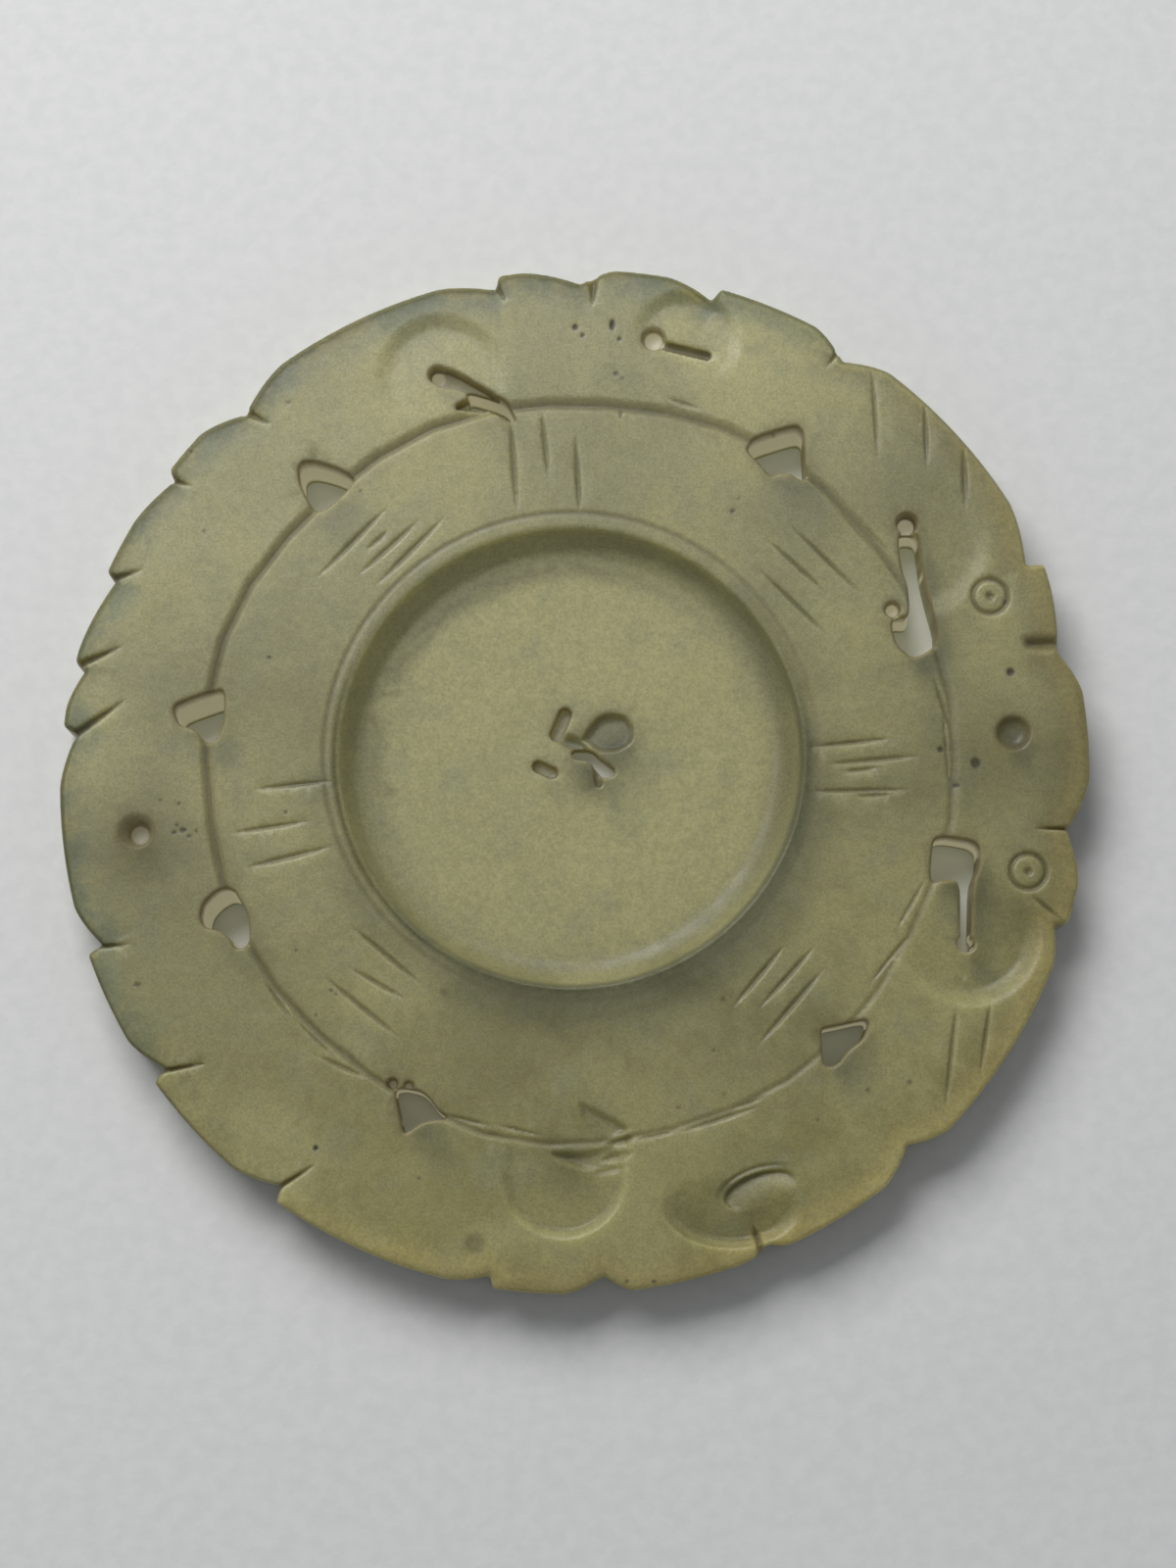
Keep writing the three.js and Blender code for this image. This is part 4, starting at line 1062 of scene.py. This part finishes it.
def add_floor():
    bpy.ops.mesh.primitive_plane_add(size=2, location=(0, 0, -0.00004))
    floor = bpy.context.object
    floor.name = "floor"
    floor.data.materials.append(paper_material())


def add_light():
    window = bpy.data.lights.new("window", "AREA")
    window.shape = "RECTANGLE"
    window.size, window.size_y = WINDOW_SIZE
    window.energy = WINDOW_ENERGY
    window.color = WINDOW_COLOUR
    lamp = bpy.data.objects.new("window", window)
    height, heading = math.radians(WINDOW_HEIGHT), math.radians(WINDOW_HEADING)
    lamp.location = (
        WINDOW_DISTANCE * math.cos(height) * math.cos(heading),
        WINDOW_DISTANCE * math.cos(height) * math.sin(heading),
        WINDOW_DISTANCE * math.sin(height),
    )
    lamp.rotation_euler = (-lamp.location).to_track_quat("-Z", "Y").to_euler()
    bpy.context.scene.collection.objects.link(lamp)
    world = bpy.data.worlds.new("room")
    world.use_nodes = True
    background = world.node_tree.nodes["Background"]
    background.inputs[0].default_value = ROOM_COLOUR
    background.inputs[1].default_value = ROOM_STRENGTH
    bpy.context.scene.world = world


def add_camera():
    tilt = math.radians(CAMERA_TILT)
    aim_x, aim_y = CAMERA_AIM[0] + MIDDLE[0], CAMERA_AIM[1] + MIDDLE[1]
    data = bpy.data.cameras.new("camera")
    data.sensor_fit = "VERTICAL"
    data.sensor_height = SENSOR_HEIGHT
    data.lens = PHOTO_SCALE * CAMERA_DISTANCE / PHOTO_HEIGHT * SENSOR_HEIGHT
    data.clip_start = 0.01
    camera = bpy.data.objects.new("camera", data)
    back, up = CAMERA_DISTANCE * math.sin(tilt), CAMERA_DISTANCE * math.cos(tilt)
    camera.location = (aim_x * MM, (aim_y - back) * MM, (THICKNESS + up) * MM)
    camera.rotation_euler = (tilt, 0, 0)
    bpy.context.scene.collection.objects.link(camera)
    bpy.context.scene.camera = camera


stone_shape, ticks, maps = stone_mesh()
disc = bpy.data.objects.new("carved_jade_disc", stone_shape)
bpy.context.scene.collection.objects.link(disc)
decimated(disc)
paint(disc.data, ticks, maps)
disc.data.materials.append(jade_material())
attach(disc, "root")
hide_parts("jade_disc")

add_floor()
add_light()
add_camera()
bpy.context.scene.view_settings.view_transform = "Standard"
